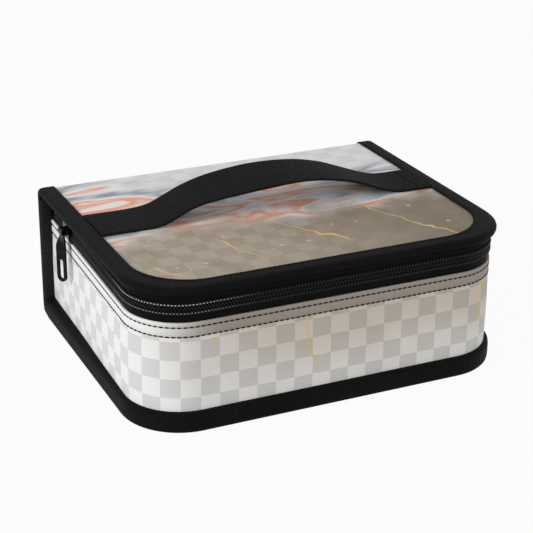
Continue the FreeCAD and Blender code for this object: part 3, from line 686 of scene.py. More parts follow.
# Wall padding: a strip of soft foam behind the printed wall, which keeps the side upright.
# It is cut straight, stands on the base board and is closed in by cover and lining.
foam_low, foam_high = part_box("wall_foam")
foam_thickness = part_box("wall_lining")[0].y - foam_low.y
foam_crown = 0.35 * MM
foam_round = 1 * MM
foam_foot_edge = 0.4 * MM
foam_top_edge = 0.6 * MM
foam_steps = 8
foam_bow = []
for i in range(foam_steps + 1):
    share = i / foam_steps
    level = foam_low.z + foam_round + (foam_high.z - foam_low.z - 2 * foam_round) * share
    foam_bow.append((foam_crown * (1 - math.sin(math.pi * share)), level))
foam_outline = [(-foam_foot_edge, foam_low.z)] + [(-sink, level) for sink, level in foam_bow]
foam_outline += [(-foam_top_edge, foam_high.z), (-foam_thickness + foam_top_edge, foam_high.z)]
foam_outline += [(-foam_thickness + sink, level) for sink, level in reversed(foam_bow)]
foam_outline.append((-foam_thickness + foam_foot_edge, foam_low.z))
foam_strip = strip("wall_padding", plan_run("wall_foam", side_lean), foam_outline)
foam_cells, tree, shader = new_material("foam_cells", roughness=0.9, specular=0.2)
foamed = {"Vector": coordinates(tree, "Object"), "Scale": 1400.0}
bubbles = add(tree, "ShaderNodeTexVoronoi", foamed).outputs["Distance"]
foam_colour = blend_colours(tree, bubbles, tint(70, 70, 72), tint(104, 104, 106))
tree.links.new(foam_colour, shader.inputs["Base Color"])
emboss(tree, shader, bubbles, depth=0.3 * MM, strength=0.6)
dress(foam_strip, foam_cells, "padding", "case", "wall_foam")

# Wall lining: the dark cloth inside the wall, turned over the top of the foam and sewn to the back
# of the zip tape, so that the foam doesn't show when the lid is open.
lining_sheet = 0.8 * MM
wall_lining_low, wall_lining_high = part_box("wall_lining")
lining_top = wall_lining_high.z
lining_foot = wall_lining_low.z + 0.7 * MM
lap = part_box("wall_lining")[0].y - foam_low.y
lining_outline = [
    (-lining_sheet, lining_foot), (-lining_sheet, lining_top / 2),
    (-lining_sheet, lining_top - 0.6 * MM), (-0.3 * MM, lining_top + 0.5 * MM),
    (0.5 * MM, lining_top + 0.85 * MM), (lap - 0.8 * MM, lining_top + 0.85 * MM),
    (lap - 0.15 * MM, lining_top + 0.5 * MM), (lap - 0.15 * MM, lining_top + 0.05 * MM),
    (0.6 * MM, lining_top + 0.05 * MM), (0.0, lining_top - 0.6 * MM), (0.0, lining_top / 2),
    (0.0, lining_foot),
]
lining_run = plan_run("wall_lining", side_lean)
lining_strip = strip("wall_lining_cloth", lining_run, lining_outline)
dress(lining_strip, lining_cloth, "lining", "case", "wall_lining")

# Base binding: black ribbed tape folded over the seam of base and wall, standing up round the foot.
# At the back of the sides it lies wider, because the walls lean in and the base stays square.
tape_ribs = woven_material(
    "tape_ribs", weave=(1.6 * MM, 0.0, 0.5 * MM), low=(2, 2, 3), high=(27, 27, 28),
    depth=0.4 * MM, strength=0.9, roughness=0.55,
)
binding_low, binding_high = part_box("base_binding")
fin_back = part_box("spine_binding_left")[1].y
fin_foot_radius = 11.5 * MM
foot_width = 4 * MM
foot_shape = [
    (-0.15, 0.30), (-0.15, 0.97), (0.02, 1.0), (0.35, 0.995), (0.68, 0.97), (0.90, 0.89),
    (0.985, 0.76), (1.0, 0.60), (1.0, 0.35), (0.985, 0.18), (0.90, 0.06), (0.70, 0.0), (0.10, 0.0),
    (-0.15, 0.04),
]
base_outer = plan_run("base_binding")
foot_rings = []
for (outer, _, _), (inner, _, _) in zip(base_outer, wall_run):
    inner = Vector((inner.x, min(inner.y, binding_high.y), 0))
    foot = binding_low.z + turned_in(fin_back - outer.y, fin_foot_radius)
    ring = []
    for share, level in foot_shape:
        height = foot + (binding_high.z - foot) * level
        ring.append(inner + (outer - inner) * share + up * height)
    foot_rings.append(ring)
foot_height = binding_high.z - binding_low.z
foot_outline = [(share * foot_width, level * foot_height) for share, level in foot_shape]
base_tape = skin("base_binding_tape", foot_rings, run_lengths(base_outer), girth(foot_outline))
dress(base_tape, tape_ribs, "binding", "case", "base_binding")

# Spine: the upright back of the cover with its board and lining, one sheet with base and lid.
# Its printed face bulges a little between the two black bindings that close its side edges.
spine_bulge = 0.7 * MM
spine_columns = 24
spine_rows = 20
spine_foot_crowding = 1.6
spine_foot_inset = 7 * MM
spine_rings = []
for i in range(spine_rows + 1):
    level = spine_low.z + (spine_high.z - spine_low.z) * (i / spine_rows) ** spine_foot_crowding
    foot_turn = turned_in(level, foot_radius)
    half = spine_high.x - turned_in(level - spine_low.z, spine_foot_inset)
    ring = []
    for j in range(spine_columns + 1):
        swell = math.sin(math.pi * i / spine_rows) * math.sin(math.pi * j / spine_columns)
        y = spine_high.y + spine_bulge * swell - foot_turn
        ring.append(Vector((half * (2 * j / spine_columns - 1), y, level)))
    spine_back = spine_low.y - foot_turn
    ring += [Vector((half, spine_back, level)), Vector((-half, spine_back, level))]
    spine_rings.append(ring)


def evenly(low, high, count):
    """Places from low to high, with count equal steps between them."""
    return [low + (high - low) * j / count for j in range(count + 1)]


def turn_print(piece):
    """Swaps the two directions of a piece's print map."""
    for corner in piece.data.uv_layers["print"].data:
        corner.uv = (corner.uv.y, corner.uv.x)


spine_across = evenly(spine_low.x, spine_high.x, spine_columns)
spine_across += [spine_high.x, spine_low.x, spine_low.x]
spine_print_start = lid_high.y + fold_length
spine_along = [spine_print_start + spine_high.z - ring[0].z for ring in spine_rings]
spine_cover = skin("spine_cover", spine_rings, spine_along, spine_across)
turn_print(spine_cover)
dress(spine_cover, cover_print, "cover_print", "case", "spine_panel")

stiff_low, stiff_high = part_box("spine_board")
stiff_low.z = foot_radius
stiff_corner = 6 * MM
stiff_edge = 0.4 * MM
stiff_section = [(-1, stiff_edge), (-0.7, 0.0), (0.7, 0.0), (1, stiff_edge)]
corner_turns = 8


def rounded_outline(half_x, half_y, corner):
    """Outline of a rectangle with round corners, as pairs about its middle."""
    outline = []
    for i, (sign_x, sign_y) in enumerate(((1, -1), (1, 1), (-1, 1), (-1, -1))):
        for k in range(corner_turns + 1):
            angle = math.pi / 2 * (i - 1 + k / corner_turns)
            x = sign_x * (half_x - corner) + corner * math.cos(angle)
            y = sign_y * (half_y - corner) + corner * math.sin(angle)
            outline.append((x, y))
    return outline


stiff_middle = (stiff_low + stiff_high) / 2
stiff_half = (stiff_high - stiff_low) / 2
stiff_outline = rounded_outline(stiff_half.x, stiff_half.z, stiff_corner)
stiff_rings = []
for depth, inset in stiff_section:
    share = 1 - inset / stiff_half.z
    y = stiff_half.y * depth
    stiff_rings.append([stiff_middle + Vector((x * share, y, z * share)) for x, z in stiff_outline])
stiff_along = [ring[0].y for ring in stiff_rings]
spine_stiffener = skin("spine_stiffener", stiff_rings, stiff_along, girth(stiff_outline))
dress(spine_stiffener, board_sheet, "stiffener", "case", "spine_board")

back_low, back_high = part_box("spine_lining")
back_sag = 0.4 * MM


def upright(name, rings):
    """A closed strip over level rings that stand one above the other."""
    outline = [(point.x, point.y) for point in rings[0]]
    return skin(name, rings, [ring[0].z for ring in rings], girth(outline))


back_rings = []
for i, level in enumerate(evenly(back_low.z, back_high.z, spine_rows)):
    ring = [Vector((back_high.x, back_high.y, level)), Vector((back_low.x, back_high.y, level))]
    for j, x in enumerate(evenly(back_low.x, back_high.x, spine_columns)):
        sag = back_sag * math.sin(math.pi * i / spine_rows) * math.sin(math.pi * j / spine_columns)
        ring.append(Vector((x, back_low.y - sag, level)))
    back_rings.append(ring)
back_cloth = upright("spine_lining_cloth", back_rings)
dress(back_cloth, lining_cloth, "lining", "case", "spine_lining")

# Spine bindings: the ribbed tape of the other bindings, painted a greyer black as painted light on the
# fins, folded over the two upright side edges of the spine. They stand out past the walls as fins, 6 mm
# thick, and their feet meet the base binding.
fin_shape = [
    (0.02, 0.10), (0.10, 0.01), (0.35, 0.0), (0.77, 0.01), (0.89, 0.08), (0.965, 0.23), (1.0, 0.43),
    (1.0, 0.57), (0.965, 0.77), (0.89, 0.92), (0.77, 0.99), (0.35, 1.0), (0.10, 0.99), (0.02, 0.90),
]
fin_steps = 24
fin_foot_crowding = 1.8
fin_foot_tip = 0.8 * MM
fin_foot_tuck = 2.5 * MM
# Painted light: a lighter copy of the binding tape, so that the fins' faces read as more brightly lit.
lit_fin_ribs = woven_material(
    "lit_fin_ribs", weave=(1.6 * MM, 0.0, 0.5 * MM), low=(18, 18, 19), high=(54, 54, 55),
    depth=0.4 * MM, strength=0.9, roughness=0.55,
)
for side in ("left", "right"):
    fin_low, fin_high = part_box("spine_binding_" + side)
    inward = 1 if side == "left" else -1
    inner, outer = (fin_high.x, fin_low.x) if side == "left" else (fin_low.x, fin_high.x)
    foot = fin_low.z + turned_in(fin_high.y - fin_low.y - fin_foot_tip, fin_foot_radius)
    fin_rings = []
    for i in range(fin_steps + 1):
        level = foot + (fin_high.z - foot) * (i / fin_steps) ** fin_foot_crowding
        back = fin_high.y - turned_in(level - fin_low.z, fin_foot_radius)
        tucked = outer + inward * turned_in(level - foot, fin_foot_tuck)
        ring = []
        for share, depth in fin_shape:
            y = fin_low.y + (back - fin_low.y) * depth
            ring.append(Vector((inner + (tucked - inner) * share, y, level)))
        fin_rings.append(ring)
    fin = upright("spine_fin_" + side, fin_rings)
    dress(fin, lit_fin_ribs, "binding", "case", "spine_binding_" + side)

# Lower zip tape: black woven tape sewn behind the hem of the wall, which carries the lower coil.
# It stands up from the hem and bellies out a little towards the coil.
zip_weave = woven_material(
    "zip_weave", weave=(1.1 * MM, 0.6, 0.45 * MM), low=(7, 7, 8), high=(20, 20, 21),
    depth=0.15 * MM, strength=0.45, roughness=0.55,
)
tape_sheet = 0.7 * MM
tape_belly = 0.7 * MM
tape_steps = 8


def tape_outline(low, high, face_low, face_high):
    """A tape's section as (out, height), bellied between the heights that show."""
    front, back = [], []
    for level in evenly(low, high, tape_steps):
        share = min(1.0, max(0.0, (level - face_low) / (face_high - face_low)))
        belly = tape_belly * math.sin(math.pi * share)
        front.append((belly, level))
        back.append((belly - tape_sheet, level))
    return front + back[::-1]


lower_low, lower_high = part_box("lower_zip_tape")
lower_run = plan_run("lower_zip_tape", side_lean)
lower_outline = tape_outline(lower_low.z, lower_high.z, wall_high.z, lower_high.z)
lower_tape = strip("lower_tape_cloth", lower_run, lower_outline)
dress(lower_tape, zip_weave, "zip_tape", "case", "lower_zip_tape")

# Lower coil: one half of the zip, nylon monofilament wound in close loops along the tape's edge and
# sewn on with a line of black thread. The thread is painted pale near the front left corner as a painted
# highlight.
coil_pitch = 2.2 * MM
coil_radius = 0.8 * MM
coil_lean = 0.35
coil_overlap = 0.35 * MM
coil_foot = 0.4 * MM
coil_sides = 8
coil_shape = [
    (-0.5, 0.45), (-0.44, 0.85), (-0.2, 1.0), (0.2, 1.0), (0.40, 1.2), (0.48, 1.0), (0.5, 0.5),
]
dot_length = 1.25 * MM
dot_radius = 0.36 * MM
dot_sink = 0.1 * MM
dot_height = 0.36
coil_low, coil_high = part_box("lower_zip_coil")
zip_middle = (coil_high.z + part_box("upper_zip_coil")[0].z) / 2
coil_run = plan_run("lower_zip_coil", side_lean)
drawn_tones, coil_gloss = (0.3, 0.7), (0.24, 0.38)
coil_nylon, tree, shader = new_material("coil_nylon", roughness=0.3, specular=0.08)
drawn = mottled(tree, coordinates(tree, "Object"), scale=500.0, detail=2.0)["Fac"]
coil_colour = blend_colours(tree, drawn, tint(10, 10, 11), tint(26, 26, 27))
tree.links.new(coil_colour, shader.inputs["Base Color"])
tree.links.new(ease(tree, drawn, *drawn_tones, *coil_gloss), shader.inputs["Roughness"])
emboss(tree, shader, drawn, depth=0.05 * MM, strength=0.3)
# Painted highlight: a mask near the front left corner, weaker on the lower row, turns the thread pale in
# place of glints of light.
glint_x = (-48 * MM, -92 * MM)
glint_y = (-35 * MM, -66 * MM)
glint_rows, glint_strength = (zip_middle - 1 * MM, zip_middle + 1 * MM), (0.45, 1.0)
coil_thread = thread_material(
    "coil_thread", low=(9, 9, 10), high=(24, 24, 24), roughness=0.2, specular=0.3
)
tree = coil_thread.node_tree
shader = tree.nodes["Principled BSDF"]
spot = add(tree, "ShaderNodeSeparateXYZ", {"Vector": coordinates(tree, "Object")}).outputs
glint_corner = calc(tree, "MULTIPLY", ease(tree, spot["X"], *glint_x), ease(tree, spot["Y"], *glint_y))
painted_glint = calc(tree, "MULTIPLY", glint_corner, ease(tree, spot["Z"], *glint_rows, *glint_strength))
strands = shader.inputs["Base Color"].links[0].from_socket
glint_paint = blend_colours(tree, painted_glint, strands, tint(176, 176, 174))
tree.links.new(glint_paint, shader.inputs["Base Color"])


def coil_row(side, body, foot, start):
    """The loops of one coil from its foot to the middle, and the thread dots that sew it on."""
    reach = zip_middle - foot + (coil_overlap if foot < zip_middle else -coil_overlap)
    loops, dots = [], []
    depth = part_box("lower_zip_tape")[0].y - coil_low.y
    for i, (point, out, way) in enumerate(walk(coil_run, coil_pitch / 2)):
        if i % 2 != start:
            continue
        spot = point - out * (depth - coil_radius) + up * (foot + reach / 2)
        loops.append((spot, (up * reach + way * coil_radius * coil_lean).normalized()))
        dot = point - out * (depth - 2 * coil_radius + dot_sink) + up * (foot + reach * dot_height)
        dots.append((dot + way * coil_pitch / 2, way))
    row = thread_bits(
        side + "_coil_loops", loops, abs(reach), coil_radius, coil_shape, coil_sides
    )
    dress(row, coil_nylon, "zip_coil", body, side + "_zip_coil")
    sewn = thread_bits(side + "_coil_thread", dots, dot_length, dot_radius, stitch_shape)
    dress(sewn, coil_thread, "zip_tape", body)


coil_row("lower", "case", foot=coil_low.z - coil_foot, start=0)

# End stops: two small crimped metal blocks that close the coil at its ends on the lower tape.
# They are painted black like the slider, with worn, softly rounded edges.
enamel, tree, shader = new_material("black_enamel", roughness=0.16, specular=0.06)
shader.inputs["Coat Weight"].default_value = 0.08
shader.inputs["Coat Roughness"].default_value = 0.08
scuff_paint = (0.5, 0.75)
scuff_tones, enamel_gloss = (0.45, 0.75), (0.13, 0.30)
place = coordinates(tree, "Object")
orange_peel = mottled(tree, place, scale=700.0, detail=2.0)["Fac"]
scuffs = mottled(tree, place, scale=160.0, detail=4.0)["Fac"]
paint = blend_colours(tree, ease(tree, scuffs, *scuff_paint), tint(7, 7, 8), tint(22, 22, 23))
tree.links.new(paint, shader.inputs["Base Color"])
tree.links.new(ease(tree, scuffs, *scuff_tones, *enamel_gloss), shader.inputs["Roughness"])
emboss(tree, shader, orange_peel, depth=0.05 * MM, strength=0.25)
edge_steps = 3


def rounded(part, edge):
    """Rounds the sharp edges of a cast part."""
    rounding = part.modifiers.new("worn_edges", "BEVEL")
    rounding.width = edge
    rounding.segments = edge_steps
    rounding.limit_method = "ANGLE"
    rounding.angle_limit = smooth_under


def enamelled(node, edge):
    """A metal CAD node in black enamel, with its edges rounded."""
    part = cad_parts[node]
    clad(part, enamel)
    rounded(part, edge)


enamelled("zip_end_stops", edge=0.4 * MM)

# Lid panel: the top of the printed cover over its board, faced with pale checks at the back, soft
# colour across the middle and taupe towards the front, and sewn into the lid binding.
lid_edge_drop = 0.5 * MM
lid_drop_reach = 30 * MM
lid_wave = 0.3 * MM
lid_wave_layer = 2.0


def lid_rise(x, y):
    """The lid's face sinks a little towards its bound edge and is not quite flat."""
    gap = min(lid_high.x - abs(x), y - lid_low.y)
    share = min(1.0, max(0.0, gap / lid_drop_reach))
    sway = noise.noise(Vector((x / wave_length, y / wave_length, lid_wave_layer)))
    wave = lid_wave * sway * share * min(1.0, (lid_high.y - y) / lid_drop_reach)
    return -lid_edge_drop * (1 - share) ** 2 + wave


lid_cover = plate("lid_cover", plan_run("lid_panel"), lid_low.z, lid_high.z, rise=lid_rise)
dress(lid_cover, cover_print, "cover_print", "lid", "lid_panel")

# Lid lining: the dark cloth under the lid's board, which closes the lid on the inside.
# It is cut to the same plan, pulled flat over the board and caught in the lid binding.
roof_low, roof_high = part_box("lid_lining")
roof_cloth = plate("lid_lining_cloth", plan_run("lid_lining"), roof_low.z, roof_high.z)
dress(roof_cloth, lining_cloth, "lining", "lid", "lid_lining")

# Lid binding: black ribbed tape folded over the lid's edge, 11.5 mm wide above and below, with a
# full round edge that overhangs the zip. It is sewn through with one row of black thread.
rim_low, rim_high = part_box("lid_binding")
rim_top = rim_high.z
binding_width = 11.5 * MM
rim_upper_side = 2 * MM
rim_seam = 2 * MM
face_radius = 38 * MM
face_shift = face_radius - (corner_radius - binding_width)
rim_shape = [
    (-11.5, -0.85), (-11.45, -0.25), (-10.9, 0.0), (-8.0, 0.08), (-4.6, 0.12), (-2.6, -0.05),
    (-1.3, -0.45), (-0.4, -1.35), (0.0, -2.6), (-0.05, -3.8), (-0.5, -4.9), (-1.4, -5.7),
    (-2.8, -6.0), (-8.0, -6.0), (-11.2, -5.95), (-11.5, -5.5), (-11.2, -5.05), (-3.2, -5.0),
    (-1.9, -4.5), (-1.5, -3.0), (-1.9, -1.5), (-3.2, -1.05), (-11.2, -0.98),
]
rim_outline = [(away * MM, rim_top + drop * MM) for away, drop in rim_shape]
rim_run = plan_run("lid_binding")


def rim_width(point):
    """Width of the tape's upper side at a point of its edge: its inner corners are rounder."""
    past_side = abs(point.x) - (half_width - corner_radius)
    past_front = front_edge + corner_radius - point.y
    if min(past_side, past_front) <= 0:
        gap = max(0.0, face_shift + min(past_side, past_front))
        return corner_radius + face_shift - math.sqrt(face_radius ** 2 - gap ** 2)
    lean = (past_side + past_front) / corner_radius
    inner = math.sqrt(face_shift ** 2 * (lean ** 2 - 2) + face_radius ** 2) - face_shift * lean
    return corner_radius - inner


rim_rings = []
for point, out, _ in rim_run:
    wider = rim_width(point) - binding_width
    ring = []
    for away, level in rim_outline:
        above = level > rim_top - rim_upper_side
        reach = min(1.0, max(0.0, -away / binding_width)) if above else 0.0
        ring.append(point + out * (away - wider * reach) + up * level)
    rim_rings.append(ring)
rim_tape = skin("lid_binding_tape", rim_rings, run_lengths(rim_run), girth(rim_outline))
dress(rim_tape, tape_ribs, "binding", "lid", "lid_binding")
rim_spots = []
for point, out, way in walk(rim_run, stitch_pitch):
    seam = point - out * (rim_width(point) - rim_seam) + up * (rim_top + thread_offset)
    rim_spots.append((seam, way))
dress(stitches("lid_binding_stitches", rim_spots), black_thread, "binding", "lid")

# Upper zip tape and coil: the other half of the zip, sewn under the lid's edge, so that it lifts
# away from the lower half with the lid when the case is opened.
upper_low, upper_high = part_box("upper_zip_tape")
upper_run = plan_run("upper_zip_tape", side_lean)
upper_outline = tape_outline(upper_low.z, upper_high.z, upper_low.z, upper_high.z)
upper_tape = strip("upper_tape_cloth", upper_run, upper_outline)
dress(upper_tape, zip_weave, "zip_tape", "lid", "upper_zip_tape")
coil_row("upper", "lid", foot=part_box("upper_zip_coil")[1].z + coil_foot, start=1)

# Fold: the stretch of the printed cover that turns from the spine to the lid and is the case's
# hinge. Black tape covers both its ends.
hinge_inset = 2 * MM
hinge_y = lid_high.y + hinge_inset
hinge_z = rim_low.z
fold_radius = fold_high.y - hinge_y
fold_tail = hinge_z - fold_low.z
fold_turns = 12
fold_tail_steps = 3
fold_columns = 20
fold_path = []
for i in range(fold_tail_steps):
    fold_path.append((hinge_y, fold_low.z + fold_tail * i / fold_tail_steps, 0.0))
for i in range(fold_turns + 1):
    fold_path.append((hinge_y, hinge_z, math.pi / 2 * i / fold_turns))
for i in range(1, fold_tail_steps + 1):
    y = hinge_y - (hinge_y - fold_low.y) * i / fold_tail_steps
    fold_path.append((y, hinge_z, math.pi / 2))


def fold_rings(section):
    """Rings of a section of (x, distance from the hinge line), carried round from spine to lid."""
    rings = []
    for y, z, angle in fold_path:
        back, rise = math.cos(angle), math.sin(angle)
        rings.append([Vector((x, y + back * away, z + rise * away)) for x, away in section])
    return rings


def ring_lengths(rings, edge=0):
    """Lengths from the first ring to each, along one of the edges that join their points."""
    lengths = [0.0]
    for first, second in zip(rings, rings[1:]):
        lengths.append(lengths[-1] + (second[edge] - first[edge]).length)
    return lengths


fold_xs = evenly(fold_low.x, fold_high.x, fold_columns)
fold_section = [(x, fold_radius) for x in fold_xs]
fold_section += [(x, fold_radius - cover_sheet) for x in reversed(fold_xs)]
rings = fold_rings(fold_section)
fold_along = ring_lengths(rings)
fold_print = [lid_high.y + fold_length * (1 - step / fold_along[-1]) for step in fold_along]
fold_sheet = skin("cover_fold", rings, fold_print, fold_xs + fold_xs[::-1] + fold_xs[:1])
turn_print(fold_sheet)
dress(fold_sheet, cover_print, "cover_print", None, "hinge_fold")
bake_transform(fold_sheet)

# Fold lining: a strip of the dark lining cloth laid over the edges of the spine's and the lid's
# linings, so that the open case shows cloth all the way. It is glued down.
strip_lap = 3.0 * MM
strip_sheet = 0.45 * MM
strip_inset = 2 * MM
strip_gap = 0.02 * MM
strip_low, strip_high = fold_low.x + strip_inset, fold_high.x - strip_inset
strip_xs = evenly(strip_low, strip_high, fold_columns)
strip_radius = back_low.y - hinge_y - strip_gap
strip_section = [(x, strip_radius) for x in strip_xs]
strip_section += [(x, strip_radius - strip_sheet) for x in reversed(strip_xs)]
rings = fold_rings(strip_section)
rings.insert(0, [point - up * strip_lap for point in rings[0]])
rings.append([point - Vector((0, strip_lap, 0)) for point in rings[-1]])
strip_along = ring_lengths(rings)
fold_cloth = skin("fold_lining_cloth", rings, strip_along, girth(strip_section))
dress(fold_cloth, lining_cloth, "lining", None)
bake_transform(fold_cloth)

# Fold bindings: the black tape over the ends of the fold, which joins the spine's fins to the lid
# binding round the rounded corner.
turn_section = [
    (0.0, 0.04), (0.0, 0.57), (0.035, 0.77), (0.11, 0.92), (0.23, 0.99), (0.40, 1.01), (0.97, 1.01),
    (1.0, 0.93), (0.97, 0.84), (0.24, 0.83), (0.16, 0.70), (0.14, 0.50), (0.14, 0.04),
]
turn_edge = 3
for side in ("left", "right"):
    turn_low, turn_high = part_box("fold_binding_" + side)
    inner, outer = (turn_high.x, turn_low.x) if side == "left" else (turn_low.x, turn_high.x)
    turn_radius = turn_high.y - hinge_y
    section = [(outer + (inner - outer) * share, turn_radius * away) for share, away in turn_section]
    rings = fold_rings(section)
    turn = skin("fold_turn_" + side, rings, ring_lengths(rings, turn_edge), girth(section))
    dress(turn, tape_ribs, "binding", None, "fold_binding_" + side)
    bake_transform(turn)

# Handle: one strip of black twill webbing across the lid, its ends caught under the lid binding and
# sewn down with two rows. It arches up higher towards the right, where a hand takes it.
strap_low, strap_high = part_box("handle_strap")
strap_width = strap_high.y - strap_low.y
strap_middle = (strap_low.y + strap_high.y) / 2
strap_skew = 3.0 * MM
strap_thickness = 1.7 * MM
strap_steps = 96
arch_edges = [
    (-118.5, 0, 0), (-94, 0, 0), (-80, 0.6, 0.7), (-72, 2.6, 2.4), (-66, 5.4, 5.0), (-59, 8.6, 8.2),
    (-50, 11.4, 12.0), (-36, 13.4, 16.2), (-18, 15.1, 19.2), (0, 16.6, 20.7), (19, 17.6, 20.4),
    (36, 16.6, 18.5), (52, 13.7, 14.6), (66, 9.6, 9.4), (78, 4.6, 4.8), (88, 1.4, 1.5), (97, 0, 0),
    (118.5, 0, 0),
]
strap_shape = [
    (-0.5, 0.3), (-0.49, 0.08), (-0.46, 0.0), (0.46, 0.0), (0.49, 0.08), (0.5, 0.3), (0.5, 0.7),
    (0.49, 0.92), (0.46, 1.0), (0.3, 1.0), (0.0, 1.0), (-0.3, 1.0), (-0.46, 1.0), (-0.49, 0.92),
    (-0.5, 0.7),
]


def arch(x, across):
    """Height of the strap's underside over the lid, from its front edge (0) to its rear edge (1)."""
    lifts = [(at * MM, (front + (rear - front) * across) * MM) for at, front, rear in arch_edges]
    last = len(lifts) - 1
    for i in range(last):
        if x <= lifts[i + 1][0] or i == last - 1:
            break
    (x0, z0), (x1, z1) = lifts[i], lifts[i + 1]
    before, after = lifts[max(0, i - 1)], lifts[min(last, i + 2)]
    slope_0 = (z1 - before[1]) / (x1 - before[0])
    slope_1 = (after[1] - z0) / (after[0] - x0)
    share = min(1.0, max(0.0, (x - x0) / (x1 - x0)))
    bend = (1 - share) * slope_0 - share * slope_1
    rise = (z1 - z0) * share * share * (3 - 2 * share)
    return z0 + rise + share * (1 - share) * (x1 - x0) * bend


strap_rings, strap_along = [], []
last = None
step = (strap_high.x - strap_low.x) / strap_steps
for x in evenly(strap_low.x, strap_high.x, strap_steps):
    line = Vector((x, strap_middle - strap_skew * x / strap_high.x, strap_low.z))
    ring = []
    for across, deep in strap_shape:
        side = across + 0.5
        climb = arch(x + step / 2, side) - arch(x - step / 2, side)
        slope = Vector((step, 0, climb)).normalized()
        face = Vector((-slope.z, 0, slope.x)) * strap_thickness * deep
        ring.append(line + Vector((0, across * strap_width, arch(x, side))) + face)
    strap_rings.append(ring)
    middle = line + up * arch(x, 0.5)
    strap_along.append(strap_along[-1] + (middle - last).length if last else 0.0)
    last = middle
strap_outline = [(across * strap_width, deep * strap_thickness) for across, deep in strap_shape]
strap = skin("handle_webbing", strap_rings, strap_along, girth(strap_outline))
webbing_twill = woven_material(
    "webbing_twill", weave=(2.1 * MM, 0.9, 0.6 * MM), low=(2, 2, 3), high=(38, 38, 39),
    depth=0.45 * MM, strength=1.0, roughness=0.66,
)
dress(strap, webbing_twill, "webbing", "lid", "handle_strap")
seam_inset = 3 * MM
seam_gap = 5 * MM
strap_spots = []
for end in (-1, 1):
    for inward in (seam_inset, seam_inset + seam_gap):
        x = end * (strap_high.x - inward)
        middle = strap_middle - strap_skew * x / strap_high.x
        for i in range(int(strap_width / stitch_pitch)):
            y = middle - strap_width / 2 + stitch_pitch * (i + 0.5)
            strap_spots.append((Vector((x, y, strap_low.z + strap_thickness)), Vector((0, 1, 0))))
dress(stitches("handle_stitches", strap_spots), black_thread, "webbing", "lid")

# Slider and pull: cast metal in glossy black enamel. The slider runs on the coil, and the flat pull
# hangs by its eye from the slider's bridge, a little turned, with an open slot at its lower end.
enamelled("zip_slider", edge=0.35 * MM)
pull_low, pull_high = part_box("zip_pull")
pull_line = (pull_low + pull_high) / 2
pull_side = pull_line.y - 2.8 * MM
pull_turn = math.radians(32)
pull_neck = pull_high.z - 4.6 * MM
pull_twist = 9 * MM
pull_cuts = 8
pull_edge = 0.45 * MM
tab = bmesh.new()
tab.from_mesh(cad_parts["zip_pull"].data)
tab.transform(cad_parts["zip_pull"].matrix_world)
for i in range(pull_cuts + 1):
    cut = (0, 0, pull_neck - pull_twist * i / pull_cuts)
    everything = tab.verts[:] + tab.edges[:] + tab.faces[:]
    bmesh.ops.bisect_plane(tab, geom=everything, plane_co=cut, plane_no=up)
for vertex in tab.verts:
    share = min(1.0, max(0.0, (pull_neck - vertex.co.z) / pull_twist))
    turn = pull_turn * (0.5 - 0.5 * math.cos(math.pi * share))
    x, y = vertex.co.x - pull_line.x, vertex.co.y - pull_side
    vertex.co.x = pull_line.x + x * math.cos(turn) - y * math.sin(turn)
    vertex.co.y = pull_side + x * math.sin(turn) + y * math.cos(turn)
pull_mesh = bpy.data.meshes.new("pull_tab")
tab.to_mesh(pull_mesh)
tab.free()
pull_tab = put_in("pull_tab", pull_mesh)
rounded(pull_tab, pull_edge)
dress(pull_tab, enamel, "zip_metal", "pull", "zip_pull")

# Brush panel and band: a flat pocket panel under the lid and a wide elastic across it, sewn down at
# intervals so that it stands off in loops that brushes slide into.
panel_low, panel_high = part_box("brush_panel")
panel_corner = 12 * MM
panel_half = (panel_high - panel_low) / 2
panel_outline = rounded_outline(panel_half.x, panel_half.y, panel_corner)
panel_levels = [
    (0.02, 0.0), (0.6, 0.1), (0.94, 0.1), (0.95, 0.0), (0.985, 0.0), (1.0, 0.25), (1.0, 1.0),
    (0.02, 1.0),
]
panel_rings = []
for share, level in panel_levels:
    z = panel_low.z + (panel_high.z - panel_low.z) * level
    panel_rings.append([Vector((x * share, y * share, z)) for x, y in panel_outline])
panel_along = [share * panel_half.y for share, _ in panel_levels]
pocket = skin("brush_pocket", panel_rings, panel_along, girth(panel_outline))
dress(pocket, lining_cloth, "lining", "lid", "brush_panel")
for polygon in pocket.data.polygons:
    for loop in polygon.loop_indices:
        spot = pocket.data.vertices[pocket.data.loops[loop].vertex_index].co
        pocket.data.uv_layers["print"].data[loop].uv = (spot.x, spot.y)

band_low, band_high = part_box("brush_band")
band_loops = 9
band_loop_steps = 10
band_swell = 3.2 * MM
band_fullness = 0.8
band_sheet = band_high.z - band_low.z
band_width = band_high.y - band_low.y
band_xs = evenly(band_low.x, band_high.x, band_loops * band_loop_steps)
band_rings = []
for i, x in enumerate(band_xs):
    loop_share = (i % band_loop_steps) / band_loop_steps
    top = band_high.z - band_swell * math.sin(math.pi * loop_share) ** band_fullness
    bottom = top - band_sheet
    front, rear = band_low.y, band_high.y
    section = [(front, top), (front, bottom), (rear, bottom), (rear, top)]
    band_rings.append([Vector((x, y, z)) for y, z in section])
band_across = [0.0, band_sheet, band_sheet + band_width]
band_across += [2 * band_sheet + band_width, 2 * (band_sheet + band_width)]
elastic_ribs = woven_material(
    "elastic_ribs", weave=(1.4 * MM, 0.0, 0.9 * MM), low=(30, 30, 32), high=(52, 52, 54),
    depth=0.25 * MM, strength=0.5, roughness=0.65,
)
elastic = skin("brush_elastic", band_rings, band_xs, band_across)
dress(elastic, elastic_ribs, "binding", "lid", "brush_band")

